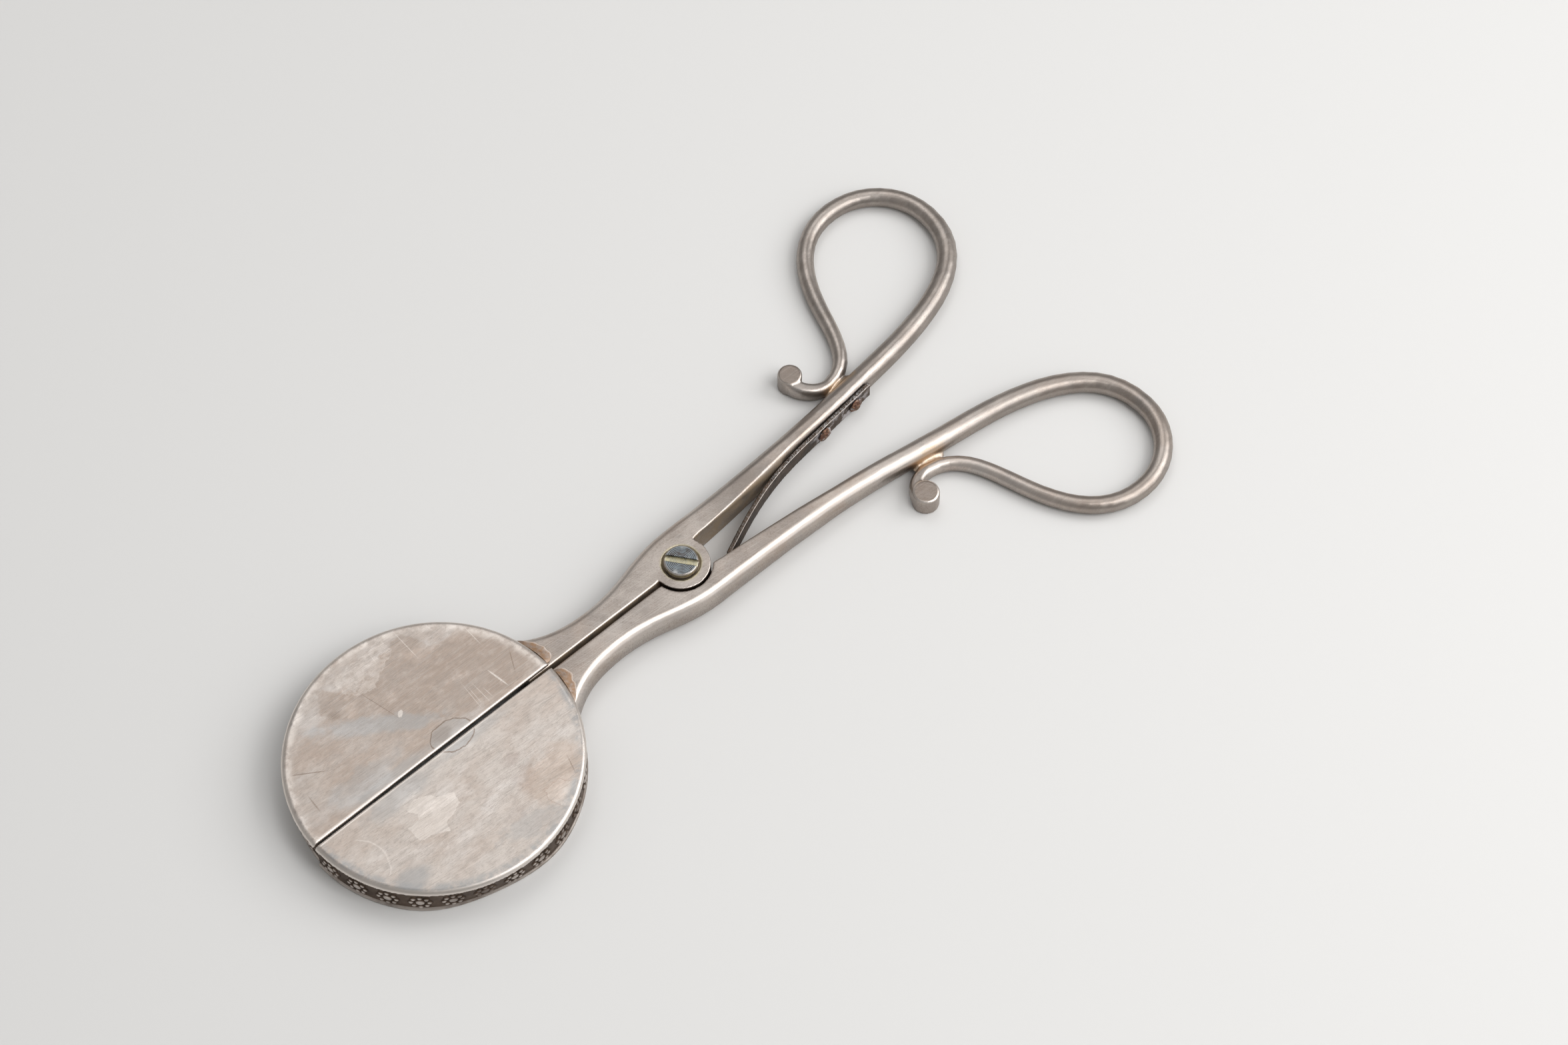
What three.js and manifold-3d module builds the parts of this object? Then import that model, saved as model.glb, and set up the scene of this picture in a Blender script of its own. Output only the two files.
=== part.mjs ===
// Candle snuffer scissors: a split round cap on two forged arms that turn on a slotted screw.
// Millimetres, +Z up, lying flat. The origin is on the pivot at the underside, +X runs to the handles.
import * as THREE from 'three';
import { mergeVertices } from 'three/addons/utils/BufferGeometryUtils.js';
import Module from 'manifold-3d';

// Cap: two half-round covers on two half-round walls
const CAP_RADIUS = 25.25;
const CAP_CENTRE = 54.6;
const COVER_THICKNESS = 1;
const COVER_TOP_ROUND = 0.7;
const COVER_FOOT_ROUND = 0.2;
const SLIT_CHAMFER = 0.25;
const COVER_OVERHANG = 0.4;
const WALL_HEIGHT = 6;
const WALL_THICKNESS = 0.9;
const RIM_HEIGHT = 0.9;
const RIM_PROUD = 0.35;
const SLIT_AT_TIP = 0.36;
const SLIT_AT_NECK = 0.76;

// The thin walls are bent in a little at their foot: how far, at what angle from the neck, and how wide
const SIDE_DENT = { depth: 1, angle: 105, spread: 34 };
const TIP_DENT = { depth: 0.7, angle: 166, spread: 42 };
const LEFT_WALL_DENTS = [SIDE_DENT, TIP_DENT];
const RIGHT_WALL_DENTS = [SIDE_DENT];

// Necks: tongues under the covers, a flare at the cap, a waist and a shoulder at the pivot
const TONGUE_LENGTH = 2.2;
const NECK_ROOT_WIDTH = 9.6;
const NECK_ROOT_HEADING = -38;
const WAIST_WIDTH = 5.05;
const WAIST_FROM_PIVOT = 17.5;
const SHOULDER_WIDTH = 8.1;
const SHOULDER_FROM_PIVOT = 2;
const NECK_SIDE_ROUND = 2;
const EDGE_ROUND = 0.25;

// Lap joint: the left arm carries the upper boss, the right arm the lower one. The pivot sits a little to the
// left of the slit.
const PIVOT_OFFSET = 0.64;
const BOSS_RADIUS = 5.05;
const LOWER_BOSS_HEIGHT = 2.8;
const LAP_CLEARANCE = 0.2;
const RECESS_CLEARANCE = 0.4;

// Pivot screw
const SCREW_HEAD_RADIUS = 2.95;
const SCREW_HEAD_HEIGHT = 1.15;
const SCREW_HEAD_CHAMFER = 0.18;
const SCREW_RADIUS = 1.75;
const SCREW_CLEARANCE = 0.1;
const SPOT_FACE_DEPTH = 0.35;
const SPOT_FACE_CLEARANCE = 0.4;
const SLOT_WIDTH = 1.15;
const SLOT_DEPTH = 0.6;
const SLOT_HEADING = -52;

// Shanks: flat-topped at the pivot, round where the bow begins
const SHANK_GAP = 6.1;
const SHANK_START = 6;
const SHANK_HEADING = 1.5;
const SHANK_MIDDLE = 30;
const SHANK_MIDDLE_OFFSET = 6.9;
const SHANK_MIDDLE_HEADING = 4.5;
const SHANK_MIDDLE_WIDTH = 3.95;
const SHANK_MIDDLE_HEIGHT = 5.2;
const SHANK_MIDDLE_ROUND = [1.3, 1.7];

// Bows: teardrop finger loops, measured to the middle of the rod from the pivot and the slit
const BOW_START = 54;
const BOW_START_OFFSET = 9.7;
const BOW_START_HEADING = 6.7;
const BOW_START_ROD = 4.1;
const BOW_REACH = 81.7;
const BOW_REACH_OFFSET = 27.2;
const BOW_REACH_ROD = 3.5;
const BOW_CROWN = 69.2;
const BOW_CROWN_OFFSET = 39.4;
const BOW_CROWN_ROD = 3.3;
const RETURN_FROM_PIVOT = 54.4;
const RETURN_OFFSET = 26.8;
const RETURN_HEADING = 250;
const RETURN_ROD = 3;

// The two handles are forged by hand: the right one is a little longer, with a slimmer bow and a straighter
// shank, and its scroll curls in closer to a wider end. A scroll end is measured from the pivot and the slit.
const LEFT_HANDLE = { extra: 0, slimmer: 0, lean: 0.25, scroll: [39.85, 17.55], end: 2.2 };
const RIGHT_HANDLE = { extra: 1.4, slimmer: 0.6, lean: -0.25, scroll: [41.5, 15.85], end: 2.4 };

// Scrolls: the end of the rod touches the shank, flattens and curls to a round end
const CONTACT_FROM_PIVOT = 44.7;
const CONTACT_GAP = 0.4;
const CONTACT_WIDTH = 2.5;
const CONTACT_HEIGHT = 2.9;
const SOLDER_LENGTH = 6.5;
const SOLDER_SHIFT = 1.1;
const SOLDER_WIDTH = 2;
const SOLDER_HEIGHT = 2.2;
const SOLDER_LIFT = 1.3;
const SCROLL_STRIP = 2.4;
const SCROLL_HEIGHT = 3.8;
const SCROLL_END_ROUND = 0.42;

// Leaf spring on the left shank's inner side, and its two rivets
const SPRING_THICKNESS = 0.8;
const SPRING_WIDTH = 3.4;
const SPRING_LIFT = 0.75;
const SPRING_TIP_FROM_PIVOT = 8;
const SPRING_TIP_HEADING = 205;
const SEAT_FRONT = 32.5;
const SEAT_REAR = 48.5;
const SEAT_DEPTH = 0.3;
const SEAT_RUNOUT = 6;
const SEAT_CLEARANCE = 0.15;
const RIVET_INSET = 4;
const RIVET_RADIUS = 0.8;
const RIVET_HEAD_RADIUS = 1.5;
const RIVET_HEAD_HEIGHT = 0.7;
const RIVET_DEPTH = 2;
const RIVET_CLEARANCE = 0.15;

// Gap left between pieces that are cut to fit one another
const FIT_GAP = 0.3;

// Fineness of the facets
const CURVE_PULL = 0.39;
const CORNER_POINTS = 5;
const ROUND_SEGMENTS = 40;
const SMALL_SEGMENTS = 16;
const CAP_SEGMENTS = 96;

const wasm = await Module();
wasm.setup();

const silver = new THREE.MeshStandardMaterial({ color: 0xb0a59d, roughness: 0.38, metalness: 0.95 });
const wornSilver = new THREE.MeshStandardMaterial({ color: 0xa9a19b, roughness: 0.45, metalness: 0.9 });
const tarnish = new THREE.MeshStandardMaterial({ color: 0x6b5a4e, roughness: 0.55, metalness: 0.8 });
const blueSteel = new THREE.MeshStandardMaterial({ color: 0x5c6a72, roughness: 0.35, metalness: 0.95 });
const darkSteel = new THREE.MeshStandardMaterial({ color: 0x3a302b, roughness: 0.5, metalness: 0.8 });
const rustyCopper = new THREE.MeshStandardMaterial({ color: 0x7a4a34, roughness: 0.7, metalness: 0.6 });

// Solids and booleans

function toSolid(geometry) {
  const bare = geometry.clone();
  bare.deleteAttribute('normal');
  bare.deleteAttribute('uv');
  const merged = mergeVertices(bare, 1e-4);
  return new wasm.Manifold(new wasm.Mesh({
    numProp: 3,
    vertProperties: new Float32Array(merged.attributes.position.array),
    triVerts: new Uint32Array(merged.index.array),
  }));
}

// The same solid on the other side of the slit
function mirrored(solid) {
  return worked(solid.mirror([0, 1, 0]));
}

// Each join or cut is worked out before the next one starts, so that shared planes stay clean

function worked(solid) {
  solid.numTri();
  return solid;
}

function join(solid, ...geometries) {
  return geometries.reduce((sum, geometry) => worked(sum.add(toSolid(geometry))), solid);
}

function cut(solid, ...geometries) {
  return geometries.reduce((rest, geometry) => worked(rest.subtract(toSolid(geometry))), solid);
}

function toGeometry(solid) {
  const mesh = solid.getMesh();
  const geometry = new THREE.BufferGeometry();
  geometry.setAttribute('position', new THREE.BufferAttribute(new Float32Array(mesh.vertProperties), 3));
  geometry.setIndex(new THREE.BufferAttribute(new Uint32Array(mesh.triVerts), 1));
  geometry.computeVertexNormals();
  return geometry;
}

// An upright cylinder round the pivot, from one height to another
function upright(radius, bottom, top, segments = ROUND_SEGMENTS) {
  const geometry = new THREE.CylinderGeometry(radius, radius, top - bottom, segments);
  geometry.rotateX(Math.PI / 2);
  geometry.translate(0, PIVOT_OFFSET, (bottom + top) / 2);
  return geometry;
}

function block(low, high) {
  const geometry = new THREE.BoxGeometry(high.x - low.x, high.y - low.y, high.z - low.z);
  geometry.translate((low.x + high.x) / 2, (low.y + high.y) / 2, (low.z + high.z) / 2);
  return geometry;
}

// Plan curves: a smooth run through stops, each a point with a heading in degrees

function direction(heading) {
  const angle = THREE.MathUtils.degToRad(heading);
  return new THREE.Vector2(Math.cos(angle), Math.sin(angle));
}

function reachBetween(from, to) {
  const pull = CURVE_PULL * from.at.distanceTo(to.at);
  const leave = from.at.clone().addScaledVector(direction(from.heading), pull);
  const arrive = to.at.clone().addScaledVector(direction(to.heading), -pull);
  return new THREE.CubicBezierCurve(from.at, leave, arrive, to.at);
}

function stop(x, y, heading, section) {
  return { at: new THREE.Vector2(x, y), heading, section };
}

// Sections of a bar: width and height with elliptical corners, sharper on the inner side

function roundSection(width, height = width) {
  const corner = [width / 2, height / 2];
  return { width, height, inner: corner, outer: corner };
}

function barSection(width, height, outerRound, inner = [EDGE_ROUND, EDGE_ROUND]) {
  return { width, height, inner, outer: [outerRound, height / 2] };
}

function blendSections(from, to, t) {
  const mix = THREE.MathUtils.lerp;
  return {
    width: mix(from.width, to.width, t),
    height: mix(from.height, to.height, t),
    inner: [mix(from.inner[0], to.inner[0], t), mix(from.inner[1], to.inner[1], t)],
    outer: [mix(from.outer[0], to.outer[0], t), mix(from.outer[1], to.outer[1], t)],
  };
}

// Points round a section as [offset across, height], from the inner foot round the outer side
function sectionOutline({ width, height, inner, outer }) {
  const corners = [
    { across: -1, up: -1, round: inner },
    { across: 1, up: -1, round: outer },
    { across: 1, up: 1, round: outer },
    { across: -1, up: 1, round: inner },
  ];
  const points = [];
  corners.forEach(({ across, up, round }, index) => {
    for (let i = 0; i < CORNER_POINTS; i += 1) {
      const share = (i + 0.5) / CORNER_POINTS;
      const turn = (index % 2 === 0 ? share : 1 - share) * Math.PI / 2;
      const u = across * (width / 2 - round[0] + round[0] * Math.cos(turn));
      const z = height / 2 + up * (height / 2 - round[1] + round[1] * Math.sin(turn));
      points.push([u, z]);
    }
  });
  return points;
}

// A station is a place along an arm: middle in plan, heading and section
function stationRing(station) {
  const along = direction(station.heading);
  return sectionOutline(station.section).map(([u, z]) => {
    const x = station.at.x - along.y * u;
    const y = station.at.y + along.x * u;
    return new THREE.Vector3(x, y, z);
  });
}

function loft(stations) {
  const rings = stations.map((station) => stationRing(station));
  const count = rings[0].length;
  const positions = rings.flat().flatMap((p) => [p.x, p.y, p.z]);
  const faces = [];
  for (let r = 0; r + 1 < rings.length; r += 1) {
    for (let i = 0; i < count; i += 1) {
      const next = (i + 1) % count;
      const low = r * count;
      const high = low + count;
      faces.push(low + i, high + next, high + i);
      faces.push(low + i, low + next, high + next);
    }
  }
  const last = (rings.length - 1) * count;
  for (let i = 1; i + 1 < count; i += 1) {
    faces.push(0, i + 1, i);
    faces.push(last, last + i, last + i + 1);
  }
  const geometry = new THREE.BufferGeometry();
  geometry.setAttribute('position', new THREE.Float32BufferAttribute(positions, 3));
  geometry.setIndex(faces);
  return geometry;
}

// Arms

const shankInnerStart = SHANK_GAP / 2;
const shankLeavesBoss = Math.sqrt(BOSS_RADIUS ** 2 - shankInnerStart ** 2);
const wallRadius = CAP_RADIUS - COVER_OVERHANG;
const neckRoot = -CAP_CENTRE + Math.sqrt(wallRadius ** 2 - NECK_ROOT_WIDTH ** 2);
const tongueEnd = neckRoot - TONGUE_LENGTH;

// Inner edge of a neck: along the slit to the boss, then across the boss to the shank
function neckInnerEdge(x) {
  const share = (x + BOSS_RADIUS) / (shankLeavesBoss + BOSS_RADIUS);
  const across = THREE.MathUtils.clamp(share, 0, 1);
  return THREE.MathUtils.lerp(SLIT_AT_NECK / 2, shankInnerStart, across);
}

function neckStation(x, outerEdge) {
  const innerEdge = neckInnerEdge(x);
  const section = barSection(outerEdge - innerEdge, WALL_HEIGHT, NECK_SIDE_ROUND);
  return stop(x, (innerEdge + outerEdge) / 2, 0, section);
}

function neckStations() {
  const root = stop(neckRoot, NECK_ROOT_WIDTH, NECK_ROOT_HEADING);
  const waist = stop(-WAIST_FROM_PIVOT, WAIST_WIDTH, 0);
  const shoulder = stop(SHOULDER_FROM_PIVOT, SHOULDER_WIDTH, 0);
  const outerEdge = [
    ...reachBetween(root, waist).getPoints(9),
    ...reachBetween(waist, shoulder).getPoints(10).slice(1),
  ];
  const along = outerEdge.map((p) => neckStation(p.x, p.y));
  return [neckStation(tongueEnd, NECK_ROOT_WIDTH), ...along];
}

function alongStops(stops, steps) {
  const stations = [];
  for (let i = 0; i + 1 < stops.length; i += 1) {
    const curve = reachBetween(stops[i], stops[i + 1]);
    const first = i === 0 ? 0 : 1;
    for (let k = first; k <= steps[i]; k += 1) {
      const t = k / steps[i];
      const tangent = curve.getTangent(t);
      const heading = THREE.MathUtils.radToDeg(Math.atan2(tangent.y, tangent.x));
      const section = blendSections(stops[i].section, stops[i + 1].section, t);
      stations.push({ at: curve.getPoint(t), heading, section });
    }
  }
  return stations;
}

function shankStops({ extra, lean }) {
  const startWidth = SHOULDER_WIDTH - shankInnerStart;
  const startOffset = (SHOULDER_WIDTH + shankInnerStart) / 2;
  return [
    stop(SHANK_START, startOffset, SHANK_HEADING, barSection(startWidth, WALL_HEIGHT, NECK_SIDE_ROUND)),
    stop(SHANK_MIDDLE, SHANK_MIDDLE_OFFSET + lean, SHANK_MIDDLE_HEADING, barSection(
      SHANK_MIDDLE_WIDTH, SHANK_MIDDLE_HEIGHT, SHANK_MIDDLE_WIDTH / 2, SHANK_MIDDLE_ROUND)),
    stop(BOW_START + extra, BOW_START_OFFSET, BOW_START_HEADING, roundSection(BOW_START_ROD)),
  ];
}

function shankStations(handle) {
  return alongStops(shankStops(handle), [8, 9]);
}

// The station of a run at a distance x from the pivot
function stationAt(stations, x) {
  const index = stations.findIndex((station) => station.at.x >= x);
  const after = stations[index];
  const before = stations[index - 1];
  const share = (x - before.at.x) / (after.at.x - before.at.x);
  return {
    at: before.at.clone().lerp(after.at, share),
    heading: THREE.MathUtils.lerp(before.heading, after.heading, share),
    section: blendSections(before.section, after.section, share),
  };
}

// Where the rod comes back to the shank: beside it, with the gap that the solder fills
function contactStop(handle) {
  const shank = stationAt(shankStations(handle), CONTACT_FROM_PIVOT + handle.extra);
  const away = shank.section.width / 2 + CONTACT_GAP + CONTACT_WIDTH / 2;
  const normal = direction(shank.heading + 90);
  const at = shank.at.clone().addScaledVector(normal, away);
  return { at, heading: shank.heading + 180, section: roundSection(CONTACT_WIDTH, CONTACT_HEIGHT), shank };
}

function bowStations(handle) {
  const { extra, slimmer, scroll, end } = handle;
  const stops = [
    stop(BOW_START + extra, BOW_START_OFFSET, BOW_START_HEADING, roundSection(BOW_START_ROD)),
    stop(BOW_REACH + extra - slimmer / 2, BOW_REACH_OFFSET + slimmer / 2, 90, roundSection(BOW_REACH_ROD)),
    stop(BOW_CROWN + extra, BOW_CROWN_OFFSET, 180, roundSection(BOW_CROWN_ROD)),
    stop(
      RETURN_FROM_PIVOT + extra + slimmer / 2, RETURN_OFFSET - slimmer / 2, RETURN_HEADING,
      roundSection(RETURN_ROD)),
    contactStop(handle),
    stop(
      scroll[0] - end + SCROLL_STRIP / 2, scroll[1], 90,
      barSection(SCROLL_STRIP, SCROLL_HEIGHT, SCROLL_STRIP / 4)),
  ];
  return alongStops(stops, [14, 10, 10, 10, 10]);
}

function scrollEnd({ scroll, end }) {
  const profile = [[0, 0], [end, 0]];
  const roundSteps = 3;
  for (let k = 0; k <= roundSteps; k += 1) {
    const turn = (k / roundSteps) * Math.PI / 2;
    const inset = SCROLL_END_ROUND * (1 - Math.cos(turn));
    profile.push([end - inset, SCROLL_HEIGHT - SCROLL_END_ROUND * (1 - Math.sin(turn))]);
  }
  profile.push([0, SCROLL_HEIGHT]);
  const disc = new THREE.LatheGeometry(profile.map(([r, z]) => new THREE.Vector2(r, z)), ROUND_SEGMENTS / 2);
  disc.rotateX(Math.PI / 2);
  disc.translate(scroll[0], scroll[1], 0);
  return disc;
}

// A low run of solder that fills the gap between the rod's end and the shank
function solderRun(handle) {
  const contact = contactStop(handle);
  const middle = contact.at.clone().add(contact.shank.at).multiplyScalar(0.5);
  const shift = (contact.shank.section.width - CONTACT_WIDTH) / 4;
  middle.addScaledVector(direction(contact.shank.heading + 90), shift);
  middle.addScaledVector(direction(contact.shank.heading), SOLDER_SHIFT);
  const run = new THREE.SphereGeometry(0.5, SMALL_SEGMENTS, SMALL_SEGMENTS / 2);
  run.scale(SOLDER_LENGTH, SOLDER_WIDTH, SOLDER_HEIGHT);
  run.rotateZ(THREE.MathUtils.degToRad(contact.shank.heading));
  run.translate(middle.x, middle.y, SOLDER_LIFT);
  return run;
}

// The forged bar of one arm, before the lap joint and the spring seat are cut
function forgedBar(handle) {
  const stations = [...neckStations(), ...shankStations(handle), ...bowStations(handle).slice(1)];
  return join(toSolid(loft(stations)), scrollEnd(handle), solderRun(handle));
}

const recessRadius = BOSS_RADIUS + RECESS_CLEARANCE;
const upperBossFoot = LOWER_BOSS_HEIGHT + LAP_CLEARANCE;
const spotFace = WALL_HEIGHT - SPOT_FACE_DEPTH;
const screwBore = upright(SCREW_RADIUS + SCREW_CLEARANCE, -WALL_HEIGHT, 2 * WALL_HEIGHT);

// Spring seat: a flat on the inner side of the left shank, between two distances from the pivot

function seatCorner(x) {
  const station = stationAt(shankStations(LEFT_HANDLE), x);
  const inward = direction(station.heading - 90);
  return station.at.addScaledVector(inward, station.section.width / 2 - SEAT_DEPTH);
}

const seatFront = seatCorner(SEAT_FRONT);
const seatRear = seatCorner(SEAT_REAR);
const seatHeading = THREE.MathUtils.radToDeg(Math.atan2(seatRear.y - seatFront.y, seatRear.x - seatFront.x));
const seatLength = seatFront.distanceTo(seatRear);
const seatInward = direction(seatHeading - 90);

function seatPoint(distance, inward) {
  const along = seatFront.clone().addScaledVector(direction(seatHeading), distance);
  return along.addScaledVector(seatInward, inward);
}

function onSeat(geometry, distance, height) {
  const at = seatPoint(distance, 0);
  geometry.rotateZ(THREE.MathUtils.degToRad(seatHeading));
  geometry.translate(at.x, at.y, height);
  return geometry;
}

const springMiddle = SPRING_LIFT + SPRING_WIDTH / 2;
const rivetPlaces = [RIVET_INSET, seatLength - RIVET_INSET];

function seatCut() {
  const low = new THREE.Vector3(-SEAT_RUNOUT, -shankInnerStart, -WALL_HEIGHT);
  const high = new THREE.Vector3(seatLength + FIT_GAP, 0, 2 * WALL_HEIGHT);
  return onSeat(block(low, high), 0, 0);
}

function rivetBore(distance, depth) {
  const length = 2 * depth;
  const bore = new THREE.CylinderGeometry(
    RIVET_RADIUS + RIVET_CLEARANCE, RIVET_RADIUS + RIVET_CLEARANCE, length, SMALL_SEGMENTS);
  return onSeat(bore, distance, springMiddle);
}

function leftArm() {
  const boss = upright(BOSS_RADIUS, LOWER_BOSS_HEIGHT / 2, WALL_HEIGHT);
  const recess = upright(recessRadius, -WALL_HEIGHT, upperBossFoot);
  const headSeat = upright(SCREW_HEAD_RADIUS + SPOT_FACE_CLEARANCE, spotFace, 2 * WALL_HEIGHT);
  const bores = rivetPlaces.map((distance) => rivetBore(distance, RIVET_DEPTH + RIVET_CLEARANCE));
  const arm = join(forgedBar(LEFT_HANDLE), boss);
  return toGeometry(cut(arm, recess, screwBore, headSeat, seatCut(), ...bores));
}

function rightArm() {
  const boss = upright(BOSS_RADIUS, 0, (LOWER_BOSS_HEIGHT + WALL_HEIGHT) / 2);
  const recess = upright(recessRadius, LOWER_BOSS_HEIGHT, 2 * WALL_HEIGHT);
  const arm = join(mirrored(forgedBar(RIGHT_HANDLE)), boss);
  return toGeometry(cut(arm, recess, screwBore));
}

// Cap

// A piece of the half-plane beyond the slit, along the slit's edge: given across the edge and in height
function alongSlit(geometry) {
  const lean = Math.atan2((SLIT_AT_NECK - SLIT_AT_TIP) / 2, 2 * CAP_RADIUS);
  geometry.rotateZ(lean);
  geometry.translate(-CAP_CENTRE, (SLIT_AT_TIP + SLIT_AT_NECK) / 4, 0);
  return geometry;
}

// Half of a disc with a rolled upper rim, cut along the slit and with the slit's upper edge broken
function halfCover() {
  const top = WALL_HEIGHT + COVER_THICKNESS;
  const foot = WALL_HEIGHT;
  const profile = [[0, foot], [CAP_RADIUS - COVER_FOOT_ROUND, foot], [CAP_RADIUS, foot + COVER_FOOT_ROUND]];
  const roundSteps = 4;
  for (let k = 0; k <= roundSteps; k += 1) {
    const turn = (k / roundSteps) * Math.PI / 2;
    const inset = COVER_TOP_ROUND * (1 - Math.cos(turn));
    profile.push([CAP_RADIUS - inset, top - COVER_TOP_ROUND * (1 - Math.sin(turn))]);
  }
  profile.push([0, top]);
  const disc = new THREE.LatheGeometry(profile.map(([r, z]) => new THREE.Vector2(r, z)), CAP_SEGMENTS);
  disc.rotateX(Math.PI / 2);
  disc.translate(-CAP_CENTRE, 0, 0);
  const beyond = 2 * CAP_RADIUS;
  const otherHalf = block(new THREE.Vector3(-beyond, -beyond, -beyond), new THREE.Vector3(beyond, 0, beyond));
  const chamfer = new THREE.BoxGeometry(2 * beyond, SLIT_CHAMFER * Math.SQRT2, SLIT_CHAMFER * Math.SQRT2);
  chamfer.rotateX(Math.PI / 4);
  chamfer.translate(0, 0, top);
  return cut(toSolid(disc), alongSlit(otherHalf), alongSlit(chamfer));
}

// How far the foot of a wall is bent in, by the angle from the neck in degrees
function pinchAt(angle, dents) {
  return dents.reduce((sum, { depth, angle: middle, spread }) => {
    const turn = THREE.MathUtils.clamp((angle - middle) / spread, -1, 1);
    return sum + depth * (1 + Math.cos(Math.PI * turn)) / 2;
  }, 0);
}

function wallRing(dents) {
  const inside = wallRadius - WALL_THICKNESS;
  const lip = wallRadius + RIM_PROUD;
  const profile = [
    [inside, 0], [lip - RIM_PROUD / 2, 0], [lip, RIM_HEIGHT / 3], [lip, 2 * RIM_HEIGHT / 3],
    [wallRadius, RIM_HEIGHT], [wallRadius, WALL_HEIGHT / 2], [wallRadius, WALL_HEIGHT],
    [inside, WALL_HEIGHT], [inside, WALL_HEIGHT / 2], [inside, 0],
  ];
  const geometry = new THREE.LatheGeometry(profile.map(([r, z]) => new THREE.Vector2(r, z)), CAP_SEGMENTS);
  geometry.rotateX(Math.PI / 2);
  const position = geometry.attributes.position;
  for (let i = 0; i < position.count; i += 1) {
    const x = position.getX(i);
    const y = position.getY(i);
    const angle = Math.abs(THREE.MathUtils.radToDeg(Math.atan2(y, x)));
    const inward = pinchAt(angle, dents) * (1 - position.getZ(i) / WALL_HEIGHT);
    const scale = 1 - inward / Math.hypot(x, y);
    position.setXY(i, x * scale, y * scale);
  }
  geometry.translate(-CAP_CENTRE, 0, 0);
  return geometry;
}

function halfWall(dents) {
  const beyond = 2 * CAP_RADIUS;
  const ownHalf = block(
    new THREE.Vector3(-CAP_CENTRE - beyond, SLIT_AT_TIP / 2, -beyond),
    new THREE.Vector3(-CAP_CENTRE + beyond, beyond, beyond));
  const neckGate = block(
    new THREE.Vector3(-CAP_CENTRE, -beyond, -beyond),
    new THREE.Vector3(-CAP_CENTRE + beyond, NECK_ROOT_WIDTH + FIT_GAP, beyond));
  return cut(worked(toSolid(wallRing(dents)).intersect(toSolid(ownHalf))), neckGate);
}

// Pivot screw: cheese head with a slot, plain shank down to the underside

function pivotScrew() {
  const headFoot = spotFace + SCREW_CLEARANCE;
  const headTop = headFoot + SCREW_HEAD_HEIGHT;
  const profile = [
    [0, 0], [SCREW_RADIUS, 0], [SCREW_RADIUS, headFoot], [SCREW_HEAD_RADIUS, headFoot],
    [SCREW_HEAD_RADIUS, headTop - SCREW_HEAD_CHAMFER], [SCREW_HEAD_RADIUS - SCREW_HEAD_CHAMFER, headTop],
    [0, headTop],
  ];
  const turned = new THREE.LatheGeometry(profile.map(([r, z]) => new THREE.Vector2(r, z)), ROUND_SEGMENTS);
  turned.rotateX(Math.PI / 2);
  const slot = block(
    new THREE.Vector3(-2 * SCREW_HEAD_RADIUS, -SLOT_WIDTH / 2, headTop - SLOT_DEPTH),
    new THREE.Vector3(2 * SCREW_HEAD_RADIUS, SLOT_WIDTH / 2, 2 * headTop));
  return toGeometry(cut(toSolid(turned), slot));
}

// Leaf spring: flat on its seat, then bent across to the right shank near the pivot

function leafSpring() {
  const middle = SEAT_CLEARANCE + SPRING_THICKNESS / 2;
  const front = seatPoint(0, middle);
  const facing = stationAt(shankStations(RIGHT_HANDLE), SPRING_TIP_FROM_PIVOT);
  const faceOffset = facing.at.y - facing.section.width / 2;
  const tipOffset = -faceOffset + FIT_GAP + SPRING_THICKNESS / 2;
  const bend = reachBetween(
    stop(front.x, front.y, seatHeading + 180),
    stop(SPRING_TIP_FROM_PIVOT, tipOffset, SPRING_TIP_HEADING));
  const steps = 14;
  const upper = [seatPoint(seatLength, SEAT_CLEARANCE)];
  const lower = [seatPoint(seatLength, SEAT_CLEARANCE + SPRING_THICKNESS)];
  for (let k = 0; k <= steps; k += 1) {
    const tangent = bend.getTangent(k / steps);
    const point = bend.getPoint(k / steps);
    const across = new THREE.Vector2(tangent.y, -tangent.x).multiplyScalar(SPRING_THICKNESS / 2);
    upper.push(point.clone().add(across));
    lower.push(point.clone().sub(across));
  }
  const outline = new THREE.Shape([...upper, ...lower.reverse()]);
  const flat = { depth: SPRING_WIDTH, bevelEnabled: false, curveSegments: 1 };
  const strip = new THREE.ExtrudeGeometry(outline, flat);
  strip.translate(0, 0, SPRING_LIFT);
  const bores = rivetPlaces.map((distance) => rivetBore(distance, shankInnerStart));
  return toGeometry(cut(toSolid(strip), ...bores));
}

// Rivet along its own Y axis, head outwards: domed head on the spring, shank into the arm
function rivet() {
  const headFoot = SEAT_CLEARANCE + SPRING_THICKNESS + SEAT_CLEARANCE;
  const profile = [[0, -RIVET_DEPTH], [RIVET_RADIUS, -RIVET_DEPTH], [RIVET_RADIUS, headFoot]];
  const domeSteps = 4;
  for (let k = 0; k <= domeSteps; k += 1) {
    const turn = (k / domeSteps) * Math.PI / 2;
    const radius = k === domeSteps ? 0 : RIVET_HEAD_RADIUS * Math.cos(turn);
    profile.push([radius, headFoot + RIVET_HEAD_HEIGHT * Math.sin(turn)]);
  }
  return new THREE.LatheGeometry(profile.map(([r, y]) => new THREE.Vector2(r, y)), SMALL_SEGMENTS);
}

function placeRivet(mesh, distance) {
  const at = seatPoint(distance, 0);
  mesh.position.set(at.x, at.y, springMiddle);
  mesh.rotation.z = THREE.MathUtils.degToRad(seatHeading + 180);
  return mesh;
}

// Assembly, moved across so that the pivot is at the origin

function named(name, geometry, material) {
  const mesh = new THREE.Mesh(geometry, material);
  mesh.name = name;
  return mesh;
}

const snuffer = new THREE.Group();
snuffer.name = 'candle_snuffer_scissors';

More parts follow.
